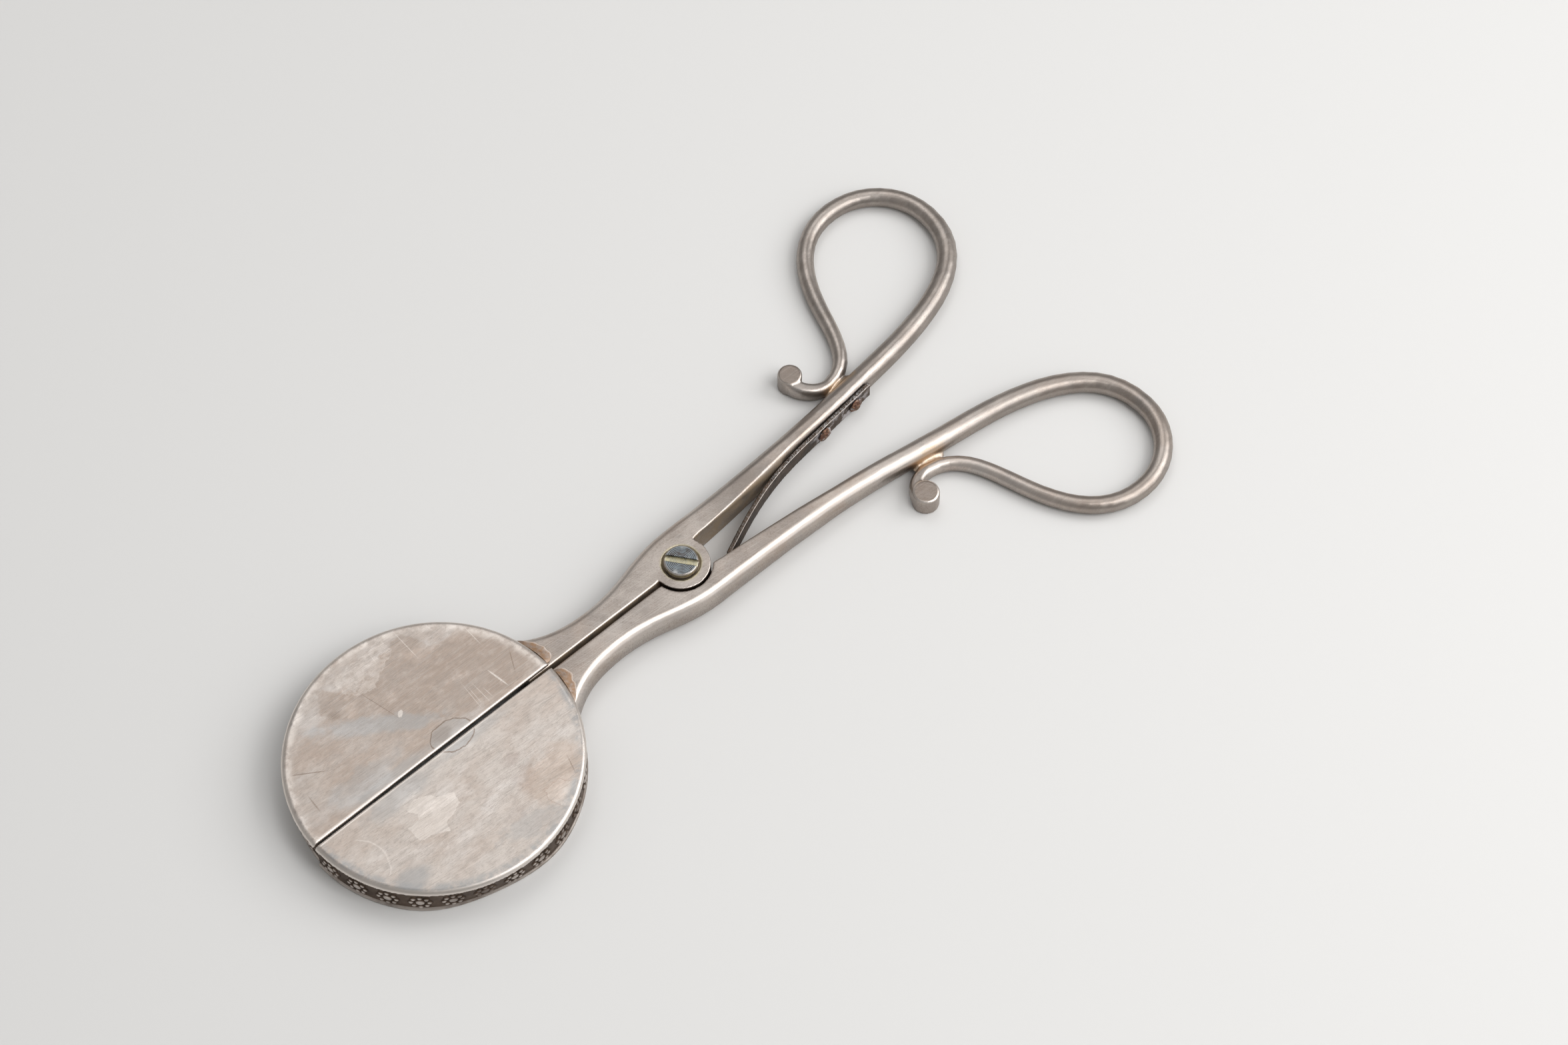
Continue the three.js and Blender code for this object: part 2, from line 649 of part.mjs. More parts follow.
const leftHalf = new THREE.Group();
leftHalf.position.y = -PIVOT_OFFSET;
leftHalf.add(named('left_arm', leftArm(), silver));
leftHalf.add(named('left_cover', toGeometry(halfCover()), wornSilver));
leftHalf.add(named('left_wall', toGeometry(halfWall(LEFT_WALL_DENTS)), tarnish));
leftHalf.add(named('leaf_spring', leafSpring(), darkSteel));
leftHalf.add(placeRivet(named('front_spring_rivet', rivet(), rustyCopper), rivetPlaces[0]));
leftHalf.add(placeRivet(named('rear_spring_rivet', rivet(), rustyCopper), rivetPlaces[1]));

const rightHalf = new THREE.Group();
rightHalf.position.y = -PIVOT_OFFSET;
rightHalf.add(named('right_arm', rightArm(), silver));
rightHalf.add(named('right_cover', toGeometry(mirrored(halfCover())), wornSilver));
rightHalf.add(named('right_wall', toGeometry(mirrored(halfWall(RIGHT_WALL_DENTS))), tarnish));
const screw = named('pivot_screw', pivotScrew(), blueSteel);
screw.position.y = PIVOT_OFFSET;
screw.rotation.z = THREE.MathUtils.degToRad(SLOT_HEADING);
rightHalf.add(screw);

snuffer.add(leftHalf, rightHalf);

export default snuffer;
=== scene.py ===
"""Candle snuffer scissors: looks, small details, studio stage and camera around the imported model."""

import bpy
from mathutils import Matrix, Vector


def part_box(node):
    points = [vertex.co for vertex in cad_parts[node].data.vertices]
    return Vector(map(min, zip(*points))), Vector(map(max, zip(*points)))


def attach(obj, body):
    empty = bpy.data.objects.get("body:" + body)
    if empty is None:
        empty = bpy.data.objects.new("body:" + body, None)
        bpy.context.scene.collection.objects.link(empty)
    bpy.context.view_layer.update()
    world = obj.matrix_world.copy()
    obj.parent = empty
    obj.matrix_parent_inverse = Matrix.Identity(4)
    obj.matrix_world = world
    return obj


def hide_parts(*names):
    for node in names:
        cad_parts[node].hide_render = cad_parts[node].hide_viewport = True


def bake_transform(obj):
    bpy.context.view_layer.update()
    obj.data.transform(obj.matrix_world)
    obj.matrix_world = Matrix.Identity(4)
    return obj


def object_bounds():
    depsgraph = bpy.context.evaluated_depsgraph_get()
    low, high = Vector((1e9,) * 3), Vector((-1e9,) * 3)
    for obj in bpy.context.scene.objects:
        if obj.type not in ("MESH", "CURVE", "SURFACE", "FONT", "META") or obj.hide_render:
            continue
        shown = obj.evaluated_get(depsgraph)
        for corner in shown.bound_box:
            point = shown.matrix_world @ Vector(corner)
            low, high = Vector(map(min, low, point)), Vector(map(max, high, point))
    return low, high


bl_info = {
    "name": "Candle Snuffer Scissors",
    "version": (1, 0, 0),
    "blender": (4, 5, 0),
    "location": "3D View > Sidebar > Snuffer",
    "description": "Dresses the candle snuffer scissors in aged silver and sets up a studio stage",
    "category": "Object",
}

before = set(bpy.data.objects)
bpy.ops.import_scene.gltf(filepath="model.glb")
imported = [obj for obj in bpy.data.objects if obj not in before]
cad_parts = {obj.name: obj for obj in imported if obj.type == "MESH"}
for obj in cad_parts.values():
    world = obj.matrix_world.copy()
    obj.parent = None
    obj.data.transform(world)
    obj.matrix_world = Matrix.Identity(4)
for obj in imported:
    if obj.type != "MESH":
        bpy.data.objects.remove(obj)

import math

import bmesh
import bpy
from bpy.props import FloatProperty, FloatVectorProperty, IntProperty, PointerProperty
from mathutils import Matrix, Vector, noise

MM = 0.001
CAD_BOX = [list(corner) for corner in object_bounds()]
COVER_LOW, COVER_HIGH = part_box("left_cover")
CAP_RADIUS = (COVER_HIGH.x - COVER_LOW.x) / 2
SLIT = COVER_HIGH.y - CAP_RADIUS
CAP_CENTRE = Vector(((COVER_LOW.x + COVER_HIGH.x) / 2, SLIT, 0))
COVER_TOP = COVER_HIGH.z
COVER_FOOT = COVER_LOW.z
SCREW_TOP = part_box("pivot_screw")[1].z
SIDES = {"left": 1, "right": -1}
FAR_FROM_STAIN = 99.0
SAME_HEIGHT = 1e-6
FLOAT, VECTOR = "NodeSocketFloat", "NodeSocketVector"
ROOM_TINT = (1.0, 0.985, 0.965, 1)
FLOOR_SIZE = 6.0
FLOOR_DROP = 0.05 * MM

# Stamping of the walls: heights are shares of the relief
PETAL_HEIGHT = 0.9
GROOVE_DEPTH = 0.4
EYE_GROOVE = 0.35 * MM
PETAL_GROOVE = 0.25 * MM
PLAIN_FOOT = 1.0 * MM

# Places of marks and stains are in millimetres from the pivot (x) and from the slit (y)
PIVOT = (0, -SLIT / MM)
SCROLL_ENDS = (((39.85, 17.55), 2.05), ((41.5, -15.85), 2.2))
SCROLL_JOINTS = ((45.2, 10.7), (46.6, -10.7))
RIVETS = ((37.2, 4.9), (44.6, 5.6))

# Stains on the covers: the half that has each, and its outline
STAINS = {
    "flake": ("right", (
        (-64.5, -5.1), (-62.2, -4.3), (-59.7, -5.3), (-59.4, -6.4), (-56.6, -7.6), (-56.9, -9.6),
        (-60.9, -11.0), (-61.3, -12.5), (-63.5, -11.4), (-66.0, -10.7), (-66.2, -7.8), (-63.8, -7.7),
        (-63.3, -6.8))),
    "crust": ("right", (
        (-45.0, -17.2), (-42.1, -17.1), (-40.3, -19.3), (-41.0, -21.7), (-42.8, -22.8), (-44.9, -21.4),
        (-45.7, -19.2))),
    "brown_film": ("left", (
        (-61.8, 22.1), (-63.5, 18.2), (-61.9, 14.0), (-56.6, 11.6), (-53.5, 8.2), (-49.3, 4.5),
        (-45.6, 2.3), (-30.2, 1.4), (-31.6, 6.9), (-35.9, 12.9), (-42.2, 16.4), (-44.7, 21.3),
        (-48.8, 20.7), (-54.4, 16.0), (-58.6, 18.7))),
    "worn_patch": ("left", (
        (-58.7, 21.4), (-54.6, 22.1), (-47.6, 22.3), (-47.8, 19.8), (-51.2, 18.0), (-54.0, 16.2),
        (-56.6, 16.7), (-58.6, 18.7))),
}

# Films in the stains: raggedness, softness, grain, least share, amount, and the rim's tint and amount
FILMS = (
    ("worn_patch", 1.6, 0.14, 420.0, 0.1, 0.32, "pale", 0.28),
    ("crust", 1.2, 0.16, 480.0, 0.2, 0.40, "rust", 0.30),
    ("flake", 0.5, 0.12, 620.0, 0.8, 0.64, "pale", 0.50),
)

# Marks on the covers: place, half width and length, raggedness, softness, grain, turn, tint, amount
BLUISH_PATCHES = [
    ((-58.1, 10.4), (10.0, 1.6), 1.1, 0.40, 330.0, -35, "cool", 0.65),
    ((-66.0, 3.6), (7.0, 2.2), 1.3, 0.40, 330.0, 4, "cool", 0.40),
    ((-62.0, 1.5), (7.5, 0.9), 0.8, 0.50, 300.0, 0, "cool", 0.55),
    ((-64.0, -2.2), (7.0, 1.7), 1.0, 0.45, 330.0, 3, "cool", 0.50),
    ((-48.0, -1.6), (8.0, 0.9), 0.8, 0.50, 300.0, 0, "cool", 0.40),
    ((-71.4, -15.2), (3.4, 2.0), 0.5, 0.35, 300.0, 0, "cool", 0.70),
    ((-50.8, -20.5), (5.0, 2.0), 1.2, 0.30, 420.0, -10, "cool", 0.40),
]
RUSTY_SPOTS = [
    ((-45.4, -9.1), (1.6, 1.0), 0.8, 0.50, 500.0, 0, "rust", 0.20),
    ((-46.0, -13.4), (2.6, 1.8), 0.8, 0.50, 420.0, 30, "rust", 0.18),
    ((-51.2, -17.7), (1.8, 1.0), 0.7, 0.50, 500.0, 0, "rust", 0.14),
    ((-42.0, -15.5), (6.5, 4.0), 0.8, 0.30, 220.0, 20, "solder", 0.30),
    ((-62.4, 16.6), (1.2, 0.8), 0.9, 0.50, 500.0, 0, "brown", 0.25),
]
OVAL_SPOTS = [
    ((-50.0, 0.7), (3.9, 2.9), 0.22, 0.10, 300.0, -12, "cool", 0.45),
    ((-51.4, 1.9), (1.6, 1.2), 0.9, 0.40, 500.0, 0, "dull", 0.50),
]
BRIGHT_SCRATCHES = [
    ((-54.0, 9.5), (0.8, 0.4), 0.9, 0.2, 900.0, 40, "pale", 0.80),
    ((-37.55, 4.0), (0.15, 2.1), 0.1, 0.4, 420.0, 9.5, "pale", 0.85),
    ((-45.15, 19.3), (0.07, 3.0), 0.1, 0.5, 420.0, 0, "pale", 0.60),
    ((-35.65, 13.2), (0.07, 2.2), 0.1, 0.5, 420.0, 0, "pale", 0.60),
    ((-40.2, 19.6), (0.06, 1.5), 0.1, 0.5, 420.0, 6, "pale", 0.45),
    ((-50.9, 20.4), (0.06, 1.2), 0.1, 0.5, 420.0, -5, "pale", 0.45),
    ((-31.25, -6.55), (0.22, 2.5), 0.12, 0.3, 420.0, -12.6, "pale", 0.85),
]
DARK_SCRATCHES = [
    ((-72.25, 11.1), (3.5, 0.09), 0.4, 0.6, 300.0, -32.8, "brown", 0.60),
    ((-33.75, 4.8), (0.08, 1.9), 0.3, 0.6, 500.0, -26.6, "brown", 0.60),
    ((-55.65, 13.4), (0.07, 3.5), 0.3, 0.6, 300.0, 14, "brown", 0.55),
    ((-38.8, -16.45), (0.08, 1.7), 0.3, 0.6, 500.0, -17, "brown", 0.50),
    ((-74.9, 6.0), (0.12, 1.5), 0.4, 0.6, 500.0, -4, "brown", 0.50),
]
FAN_OF_SCRATCHES = [
    ((-43.0 + away, 4.2 - 0.5 * away), (0.06, length), 0.1, 0.5, 420.0, -4 + 3 * away, "pale", 0.5)
    for away, length in ((0.0, 2.6), (0.5, 1.6), (1.6, 2.2), (2.5, 1.1))
]
COVER_MARKS = (
    BLUISH_PATCHES + RUSTY_SPOTS + OVAL_SPOTS + BRIGHT_SCRATCHES + DARK_SCRATCHES + FAN_OF_SCRATCHES)


# Settings that a user would change

class SnufferSizes(bpy.types.PropertyGroup):
    """Sizes of the details that the looks add."""

    arm_grain: FloatProperty(
        name="Arm Mesh", description="Fineness of the arms' surface", default=0.2 * MM, unit="LENGTH")
    plate_grain: FloatProperty(
        name="Cover Mesh", description="Fineness of the covers' surface",
        default=0.2 * MM, unit="LENGTH")
    band_grain: FloatProperty(
        name="Band Mesh", description="Fineness of the stamped walls", default=0.12 * MM, unit="LENGTH")
    cover_edge: FloatProperty(
        name="Cover Edge", description="Rounding of the covers' outer edge",
        default=0.94 * MM, unit="LENGTH")
    slit_edge: FloatProperty(
        name="Slit Edge", description="Rounding of the covers' slit edge",
        default=0.42 * MM, unit="LENGTH")
    slit_at_tip: FloatProperty(
        name="Slit at Tip", description="Gap between the covers at the tip",
        default=0.36 * MM, unit="LENGTH")
    slit_at_neck: FloatProperty(
        name="Slit at Neck", description="Gap between the covers at the necks", default=0.76 * MM,
        unit="LENGTH")
    rosette_count: IntProperty(
        name="Rosettes", description="Stamped rosettes on each half of the wall", default=12, min=1)
    rosette_first: FloatProperty(
        name="First Rosette", description="Angle of the rosette next to the neck",
        default=math.radians(34.7), subtype="ANGLE")
    rosette_step: FloatProperty(
        name="Rosette Step", description="Angle between rosettes", default=math.radians(12.53),
        subtype="ANGLE")
    rosette_height: FloatProperty(
        name="Rosette Height", description="Height of the rosettes' middles",
        default=3.0 * MM, unit="LENGTH")
    rosette_eye: FloatProperty(
        name="Rosette Eye", description="Radius of a rosette's round middle", default=0.85 * MM,
        unit="LENGTH")
    rosette_ring: FloatProperty(
        name="Petal Ring", description="Radius of the ring of petals", default=1.55 * MM, unit="LENGTH")
    petal_radius: FloatProperty(
        name="Petal", description="Radius of one petal", default=0.46 * MM, unit="LENGTH")
    petal_count: IntProperty(name="Petals", description="Petals of a rosette", default=8, min=3)
    relief: FloatProperty(
        name="Relief", description="How far the rosettes stand out", default=0.34 * MM, unit="LENGTH")
    solder_reach: FloatProperty(
        name="Solder Width", description="Width of the solder crescents on the necks", default=2.1 * MM,
        unit="LENGTH")
    solder_rise: FloatProperty(
        name="Solder Rise", description="Height of the solder at the covers", default=0.55 * MM,
        unit="LENGTH")


class SnufferFinish(bpy.types.PropertyGroup):
    """Colours of the metals and of their stains."""

    silver: FloatVectorProperty(
        name="Silver", description="Satin silver", default=(0.54, 0.485, 0.445), subtype="COLOR", min=0,
        max=1)
    warm: FloatVectorProperty(
        name="Warm Tarnish", description="Pinkish tan film",
        default=(0.44, 0.355, 0.30), subtype="COLOR", min=0, max=1)
    cool: FloatVectorProperty(
        name="Cool Tarnish", description="Blue-grey film", default=(0.36, 0.36, 0.36), subtype="COLOR",
        min=0, max=1)
    umber: FloatVectorProperty(
        name="Umber Film", description="Lighter brown film on the walls", default=(0.21, 0.155, 0.12),
        subtype="COLOR", min=0, max=1)
    dull: FloatVectorProperty(
        name="Dull Tops", description="Dull film on the flat tops", default=(0.27, 0.235, 0.21),
        subtype="COLOR", min=0, max=1)
    tan: FloatVectorProperty(
        name="Tan Film", description="Gold-brown film on the inner sides", default=(0.33, 0.245, 0.16),
        subtype="COLOR", min=0, max=1)
    brown: FloatVectorProperty(
        name="Brown Tarnish", description="Brown film in corners and below",
        default=(0.16, 0.105, 0.07), subtype="COLOR", min=0, max=1)
    pale: FloatVectorProperty(
        name="Pale Silver", description="Rubbed bright silver",
        default=(0.74, 0.68, 0.63), subtype="COLOR", min=0, max=1)
    solder: FloatVectorProperty(
        name="Solder", description="Tan solder",
        default=(0.40, 0.255, 0.16), subtype="COLOR", min=0, max=1)
    gold: FloatVectorProperty(
        name="Gold Film", description="Orange-gold film on the scroll joints",
        default=(0.62, 0.40, 0.20), subtype="COLOR", min=0, max=1)
    steel: FloatVectorProperty(
        name="Screw Steel", description="Blue-grey turned steel", default=(0.21, 0.245, 0.27),
        subtype="COLOR", min=0, max=1)
    residue: FloatVectorProperty(
        name="Polish Residue", description="Greenish gold residue", default=(0.52, 0.47, 0.30),
        subtype="COLOR", min=0, max=1)
    spring: FloatVectorProperty(
        name="Spring Steel", description="Brown-black spring steel", default=(0.040, 0.029, 0.023),
        subtype="COLOR", min=0, max=1)
    rust: FloatVectorProperty(
        name="Rivet Copper", description="Rusty copper",
        default=(0.17, 0.075, 0.05), subtype="COLOR", min=0, max=1)
    chalk: FloatVectorProperty(
        name="Chalky Residue", description="Grey-white residue",
        default=(0.60, 0.57, 0.58), subtype="COLOR", min=0, max=1)


class SnufferStage(bpy.types.PropertyGroup):
    """Camera, lamps and floor."""

    camera_turn: FloatProperty(
        name="Camera Turn", description="Camera azimuth", default=math.radians(-41.78), subtype="ANGLE")
    camera_rise: FloatProperty(
        name="Camera Rise", description="Camera elevation",
        default=math.radians(60.02), subtype="ANGLE")
    camera_distance: FloatProperty(
        name="Camera Distance", description="From the aim to the camera", default=0.6681, unit="LENGTH")
    camera_aim: FloatVectorProperty(
        name="Camera Aim", description="Point in the middle of the picture",
        default=(0.01788, -0.00618, 0.007), subtype="XYZ", unit="LENGTH")
    lens: FloatProperty(name="Lens", description="Focal length in millimetres", default=90)
    floor: FloatVectorProperty(
        name="Floor", description="Pale floor",
        default=(0.78, 0.775, 0.765), subtype="COLOR", min=0, max=1)
    world_light: FloatProperty(
        name="Room Light", description="Strength of the room's light", default=0.36)
    key_power: FloatProperty(name="Key Lamp", description="Power of the key lamp in watts", default=2.7)
    front_power: FloatProperty(
        name="Front Lamp", description="Power of the front lamp in watts", default=1.8)
    top_power: FloatProperty(name="Top Lamp", description="Power of the top lamp in watts", default=1.3)
    low_power: FloatProperty(name="Low Lamp", description="Power of the low lamp in watts", default=2.0)


# Mesh helpers

def deselect():
    bpy.ops.object.select_all(action="DESELECT")


def choose(piece):
    """Select this piece alone and make it active."""
    deselect()
    piece.select_set(True)
    bpy.context.view_layer.objects.active = piece


def edit_all(piece, operator, **settings):
    """Run one edit mode operator on a whole piece."""
    choose(piece)
    bpy.ops.object.mode_set(mode="EDIT")
    bpy.ops.mesh.select_all(action="SELECT")
    operator(**settings)
    bpy.ops.object.mode_set(mode="OBJECT")


def merged_copy(node, name):
    """A new piece from a CAD node's mesh, with its loose triangles merged."""
    piece = bpy.data.objects.new(name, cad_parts[node].data.copy())
    bpy.context.scene.collection.objects.link(piece)
    piece.data.materials.clear()
    edit_all(piece, bpy.ops.mesh.remove_doubles, threshold=0.002 * MM)
    return piece


def apply_modifier(piece, kind, **settings):
    """Add one modifier with these settings and apply it."""
    choose(piece)
    modifier = piece.modifiers.new(kind.title(), kind)
    for key, value in settings.items():
        setattr(modifier, key, value)
    bpy.ops.object.modifier_apply(modifier=modifier.name)


def forge(piece, grain, passes):
    """Give a piece an even, fine skin with softly worn edges."""
    apply_modifier(piece, "REMESH", mode="VOXEL", voxel_size=grain, adaptivity=0)
    apply_modifier(piece, "SMOOTH", factor=0.5, iterations=passes)


def move_points(mesh, places):
    """Move the points of a mesh to these places."""
    for vertex, place in zip(mesh.vertices, places):
        vertex.co = place
    mesh.update()


def keep_values(mesh, name, values):
    """Keep one number for each point of a mesh as an attribute."""
    attribute = mesh.attributes.new(name, "FLOAT", "POINT")
    attribute.data.foreach_set("value", values)


def uneven(piece, size, depth, seed):
    """Move a surface in and out by hand-made unevenness, within the height of the CAD model."""
    shift = Vector((seed * 7.3, seed * 3.1, seed * 5.7))
    places = []
    for vertex in piece.data.vertices:
        lift = depth * noise.noise(vertex.co / size + shift)
        place = vertex.co + vertex.normal * lift
        place.z = min(max(place.z, CAD_BOX[0][2]), CAD_BOX[1][2])
        places.append(place)
    move_points(piece.data, places)


def smooth(piece):
    """Shade a whole piece smooth."""
    choose(piece)
    bpy.ops.object.shade_smooth_by_angle(angle=math.pi)


def finish(piece, material, body, slot, *nodes):
    """Give a piece its material and body, and let it stand for CAD nodes."""
    piece.data.materials.clear()
    piece.data.materials.append(material)
    if body:
        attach(piece, body)
    if nodes:
        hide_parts(*nodes)


# Shader helpers

class NodeSheet:
    """Adds nodes to one tree, fills their inputs by name or place, and paints tints over a colour."""

    def __init__(self, tree):
        self.tree = tree
        self.colour = None

    def fill(self, socket, value):
        if isinstance(value, bpy.types.NodeSocket):
            self.tree.links.new(value, socket)
        elif socket.type == "RGBA":
            socket.default_value = (*tuple(value)[:3], 1)
        else:
            socket.default_value = value

    def add(self, kind, inputs=None, **settings):
        node = self.tree.nodes.new(kind)
        for key, value in settings.items():
            setattr(node, key, value)
        for key, value in (inputs or {}).items():
            self.fill(node.inputs[key], value)
        return node

    def work_out(self, operation, first, second=0.0, clamp=False):
        node = self.add("ShaderNodeMath", {0: first, 1: second}, operation=operation, use_clamp=clamp)
        return node.outputs[0]

    def times(self, first, second):
        return self.work_out("MULTIPLY", first, second)

    def plus(self, first, second):
        return self.work_out("ADD", first, second)

    def minus(self, first, second):
        return self.work_out("SUBTRACT", first, second)

    def most(self, first, second):
        return self.work_out("MAXIMUM", first, second)

    def step(self, value, low, high, start=0.0, end=1.0):
        """Go smoothly from start to end while the value goes from low to high."""
        inputs = {"Value": value, "From Min": low, "From Max": high, "To Min": start, "To Max": end}
        return self.add("ShaderNodeMapRange", inputs, interpolation_type="SMOOTHSTEP").outputs[0]

    def mix(self, factor, first, second):
        return self.add("ShaderNodeMix", {0: factor, 6: first, 7: second}, data_type="RGBA").outputs[2]

    def paint(self, tint, mask, amount=None):
        """Lay a tint over the colour so far, as far as the mask and the amount say."""
        factor = mask if amount is None else self.times(mask, amount)
        self.colour = self.mix(factor, self.colour, tint)

    def noise(self, vector, scale, detail, rough):
        inputs = {"Vector": vector, "Scale": scale, "Detail": detail, "Roughness": rough}
        return self.add("ShaderNodeTexNoise", inputs).outputs[0]

    def stretch(self, vector, scale, turn=0.0):
        inputs = {"Vector": vector, "Rotation": (0, 0, turn), "Scale": scale}
        return self.add("ShaderNodeMapping", inputs).outputs[0]

    def turn(self, vector, angle):
        inputs = {"Vector": vector, "Angle": angle}
        return self.add("ShaderNodeVectorRotate", inputs, rotation_type="Z_AXIS").outputs[0]

    def vector(self, operation, first, second):
        return self.add("ShaderNodeVectorMath", {0: first, 1: second}, operation=operation).outputs[0]

    def plan_length(self, vector):
        """Length of a vector seen from above."""
        flat = self.vector("MULTIPLY", vector, (1, 1, 0))
        return self.add("ShaderNodeVectorMath", {0: flat}, operation="LENGTH").outputs["Value"]

    def split(self, vector):
        return self.add("ShaderNodeSeparateXYZ", {0: vector}).outputs[:3]

    def attribute(self, name):
        return self.add("ShaderNodeAttribute", attribute_name=name).outputs["Fac"]

    def group(self, tree, inputs):
        return self.add("ShaderNodeGroup", inputs, node_tree=tree).outputs


def new_group(name, inputs, outputs):
    """An empty shader node group with these sockets, and its sheet, given inputs and outputs to fill."""
    tree = bpy.data.node_groups.new(name, "ShaderNodeTree")
    for label, kind, default in inputs:
        socket = tree.interface.new_socket(name=label, in_out="INPUT", socket_type=kind)
        socket.default_value = default
    for label in outputs:
        tree.interface.new_socket(name=label, in_out="OUTPUT", socket_type=FLOAT)
    sheet = NodeSheet(tree)
    return tree, sheet, sheet.add("NodeGroupInput").outputs, sheet.add("NodeGroupOutput").inputs


def blotches_group():
    """Soft ragged islands of tarnish."""
    tree, sheet, given, out = new_group(
        "Tarnish Blotches",
        [("Vector", VECTOR, (0, 0, 0)), ("Scale", FLOAT, 80.0), ("Cover", FLOAT, 0.5),
         ("Softness", FLOAT, 0.1)],
        ["Mask"])
    coarse = sheet.noise(given["Vector"], given["Scale"], 5.0, 0.6)
    level = sheet.minus(1.0, given["Cover"])
    low = sheet.minus(level, given["Softness"])
    high = sheet.plus(level, given["Softness"])
    sheet.fill(out["Mask"], sheet.step(coarse, low, high))
    return tree


def rubbing_group():
    """Fine rubbing marks that run mostly one way, as a mask and a height."""
    tree, sheet, given, out = new_group(
        "Rubbing Marks",
        [("Vector", VECTOR, (0, 0, 0)), ("Turn", FLOAT, 0.0), ("Strength", FLOAT, 1.0)],
        ["Mask", "Height"])
    turned = sheet.turn(given["Vector"], given["Turn"])
    fine = sheet.noise(sheet.stretch(turned, (110, 5600, 300)), 1.0, 3.0, 0.75)
    sparse = sheet.noise(sheet.stretch(turned, (70, 4200, 300), 0.25), 1.0, 2.0, 0.6)
    crossing = sheet.noise(sheet.stretch(turned, (60, 4200, 300), 1.45), 1.0, 2.0, 0.6)
    few = sheet.most(sheet.step(sparse, 0.63, 0.69), sheet.step(crossing, 0.64, 0.70))
    soft = sheet.step(fine, 0.40, 0.64)
    both = sheet.work_out("ADD", sheet.times(soft, 0.5), few, clamp=True)
    mask = sheet.times(both, given["Strength"])
    sheet.fill(out["Mask"], mask)
    sheet.fill(out["Height"], sheet.minus(1.0, mask))
    return tree


def mark_group():
    """One ragged oval mark round a place, with its rim."""
    tree, sheet, given, out = new_group(
        "Single Mark",
        [("Vector", VECTOR, (0, 0, 0)), ("Place", VECTOR, (0, 0, 0)), ("Reach", VECTOR, (1, 1, 1)),
         ("Turn", FLOAT, 0.0), ("Ragged", FLOAT, 0.3), ("Grain", FLOAT, 420.0),
         ("Softness", FLOAT, 0.2)],
        ["Mask", "Rim"])
    away = sheet.vector("SUBTRACT", given["Vector"], given["Place"])
    share = sheet.vector("DIVIDE", sheet.turn(away, given["Turn"]), given["Reach"])
    ragged = sheet.noise(given["Vector"], given["Grain"], 4.0, 0.6)
    wander = sheet.times(sheet.minus(ragged, 0.5), 2.0)
    edge = sheet.plus(sheet.plan_length(share), sheet.times(wander, given["Ragged"]))
    low = sheet.minus(1.0, given["Softness"])
    high = sheet.plus(1.0, given["Softness"])
    sheet.fill(out["Mask"], sheet.step(edge, low, high, 1.0, 0.0))
    off_edge = sheet.work_out("ABSOLUTE", sheet.minus(edge, 1.0))
    sheet.fill(out["Rim"], sheet.step(off_edge, 0.0, given["Softness"], 1.0, 0.0))
    return tree


def shared(make, name):
    """A node group by its name, made when it is first asked for."""
    return bpy.data.node_groups.get(name) or make()


def blotches(sheet, vector, scale, cover, softness):
    """Mask of tarnish blotches that cover about this share of a surface."""
    tree = shared(blotches_group, "Tarnish Blotches")
    inputs = {"Vector": vector, "Scale": scale, "Cover": cover, "Softness": softness}
    return sheet.group(tree, inputs)["Mask"]


def rubbing(sheet, vector, turn, strength):
    """Mask and height of fine rubbing marks."""
    tree = shared(rubbing_group, "Rubbing Marks")
    return sheet.group(tree, {"Vector": vector, "Turn": turn, "Strength": strength})


def mark(sheet, vector, place, reach, ragged, softness, grain=420.0, turn=0.0):
    """Mask and rim of one mark, from half its width and length in millimetres and a turn in degrees."""
    tree = shared(mark_group, "Single Mark")
    spot = (place[0] * MM, place[1] * MM + SLIT, 0)
    return sheet.group(tree, {
        "Vector": vector, "Place": spot, "Reach": [c * MM for c in (*reach, 1)],
        "Turn": math.radians(-turn), "Ragged": ragged, "Grain": grain, "Softness": softness})


def stain(sheet, vector, name, ragged, softness, grain):
    """Mask and rim of an outlined stain whose edge wanders by this many millimetres."""
    wander = sheet.minus(sheet.noise(vector, grain, 4.0, 0.65), 0.5)
    edge = sheet.plus(sheet.attribute(name), sheet.times(wander, 2 * ragged))
    rim = sheet.step(sheet.work_out("ABSOLUTE", edge), 0.0, softness, 1.0, 0.0)
    return {"Mask": sheet.step(edge, softness, -softness), "Rim": rim}


def new_material(name):
    """A material with a Principled BSDF, and its sheet and coordinates."""
    material = bpy.data.materials.new(name)
    material.use_nodes = True
    material.node_tree.nodes.clear()
    sheet = NodeSheet(material.node_tree)
    out = sheet.add("ShaderNodeOutputMaterial")
    shader = sheet.add("ShaderNodeBsdfPrincipled")
    sheet.fill(out.inputs["Surface"], shader.outputs[0])
    coords = sheet.add("ShaderNodeTexCoord").outputs
    return material, sheet, shader, coords


def surface(sheet, shader, metallic, roughness, height, strength, depth):
    """Give a shader the painted colour, these values and a bump of this height."""
    bump = sheet.add("ShaderNodeBump", {"Height": height, "Strength": strength, "Distance": depth})
    sheet.fill(shader.inputs["Base Color"], sheet.colour)
    sheet.fill(shader.inputs["Metallic"], metallic)
    sheet.fill(shader.inputs["Roughness"], roughness)
    sheet.fill(shader.inputs["Normal"], bump.outputs[0])


# Finishes

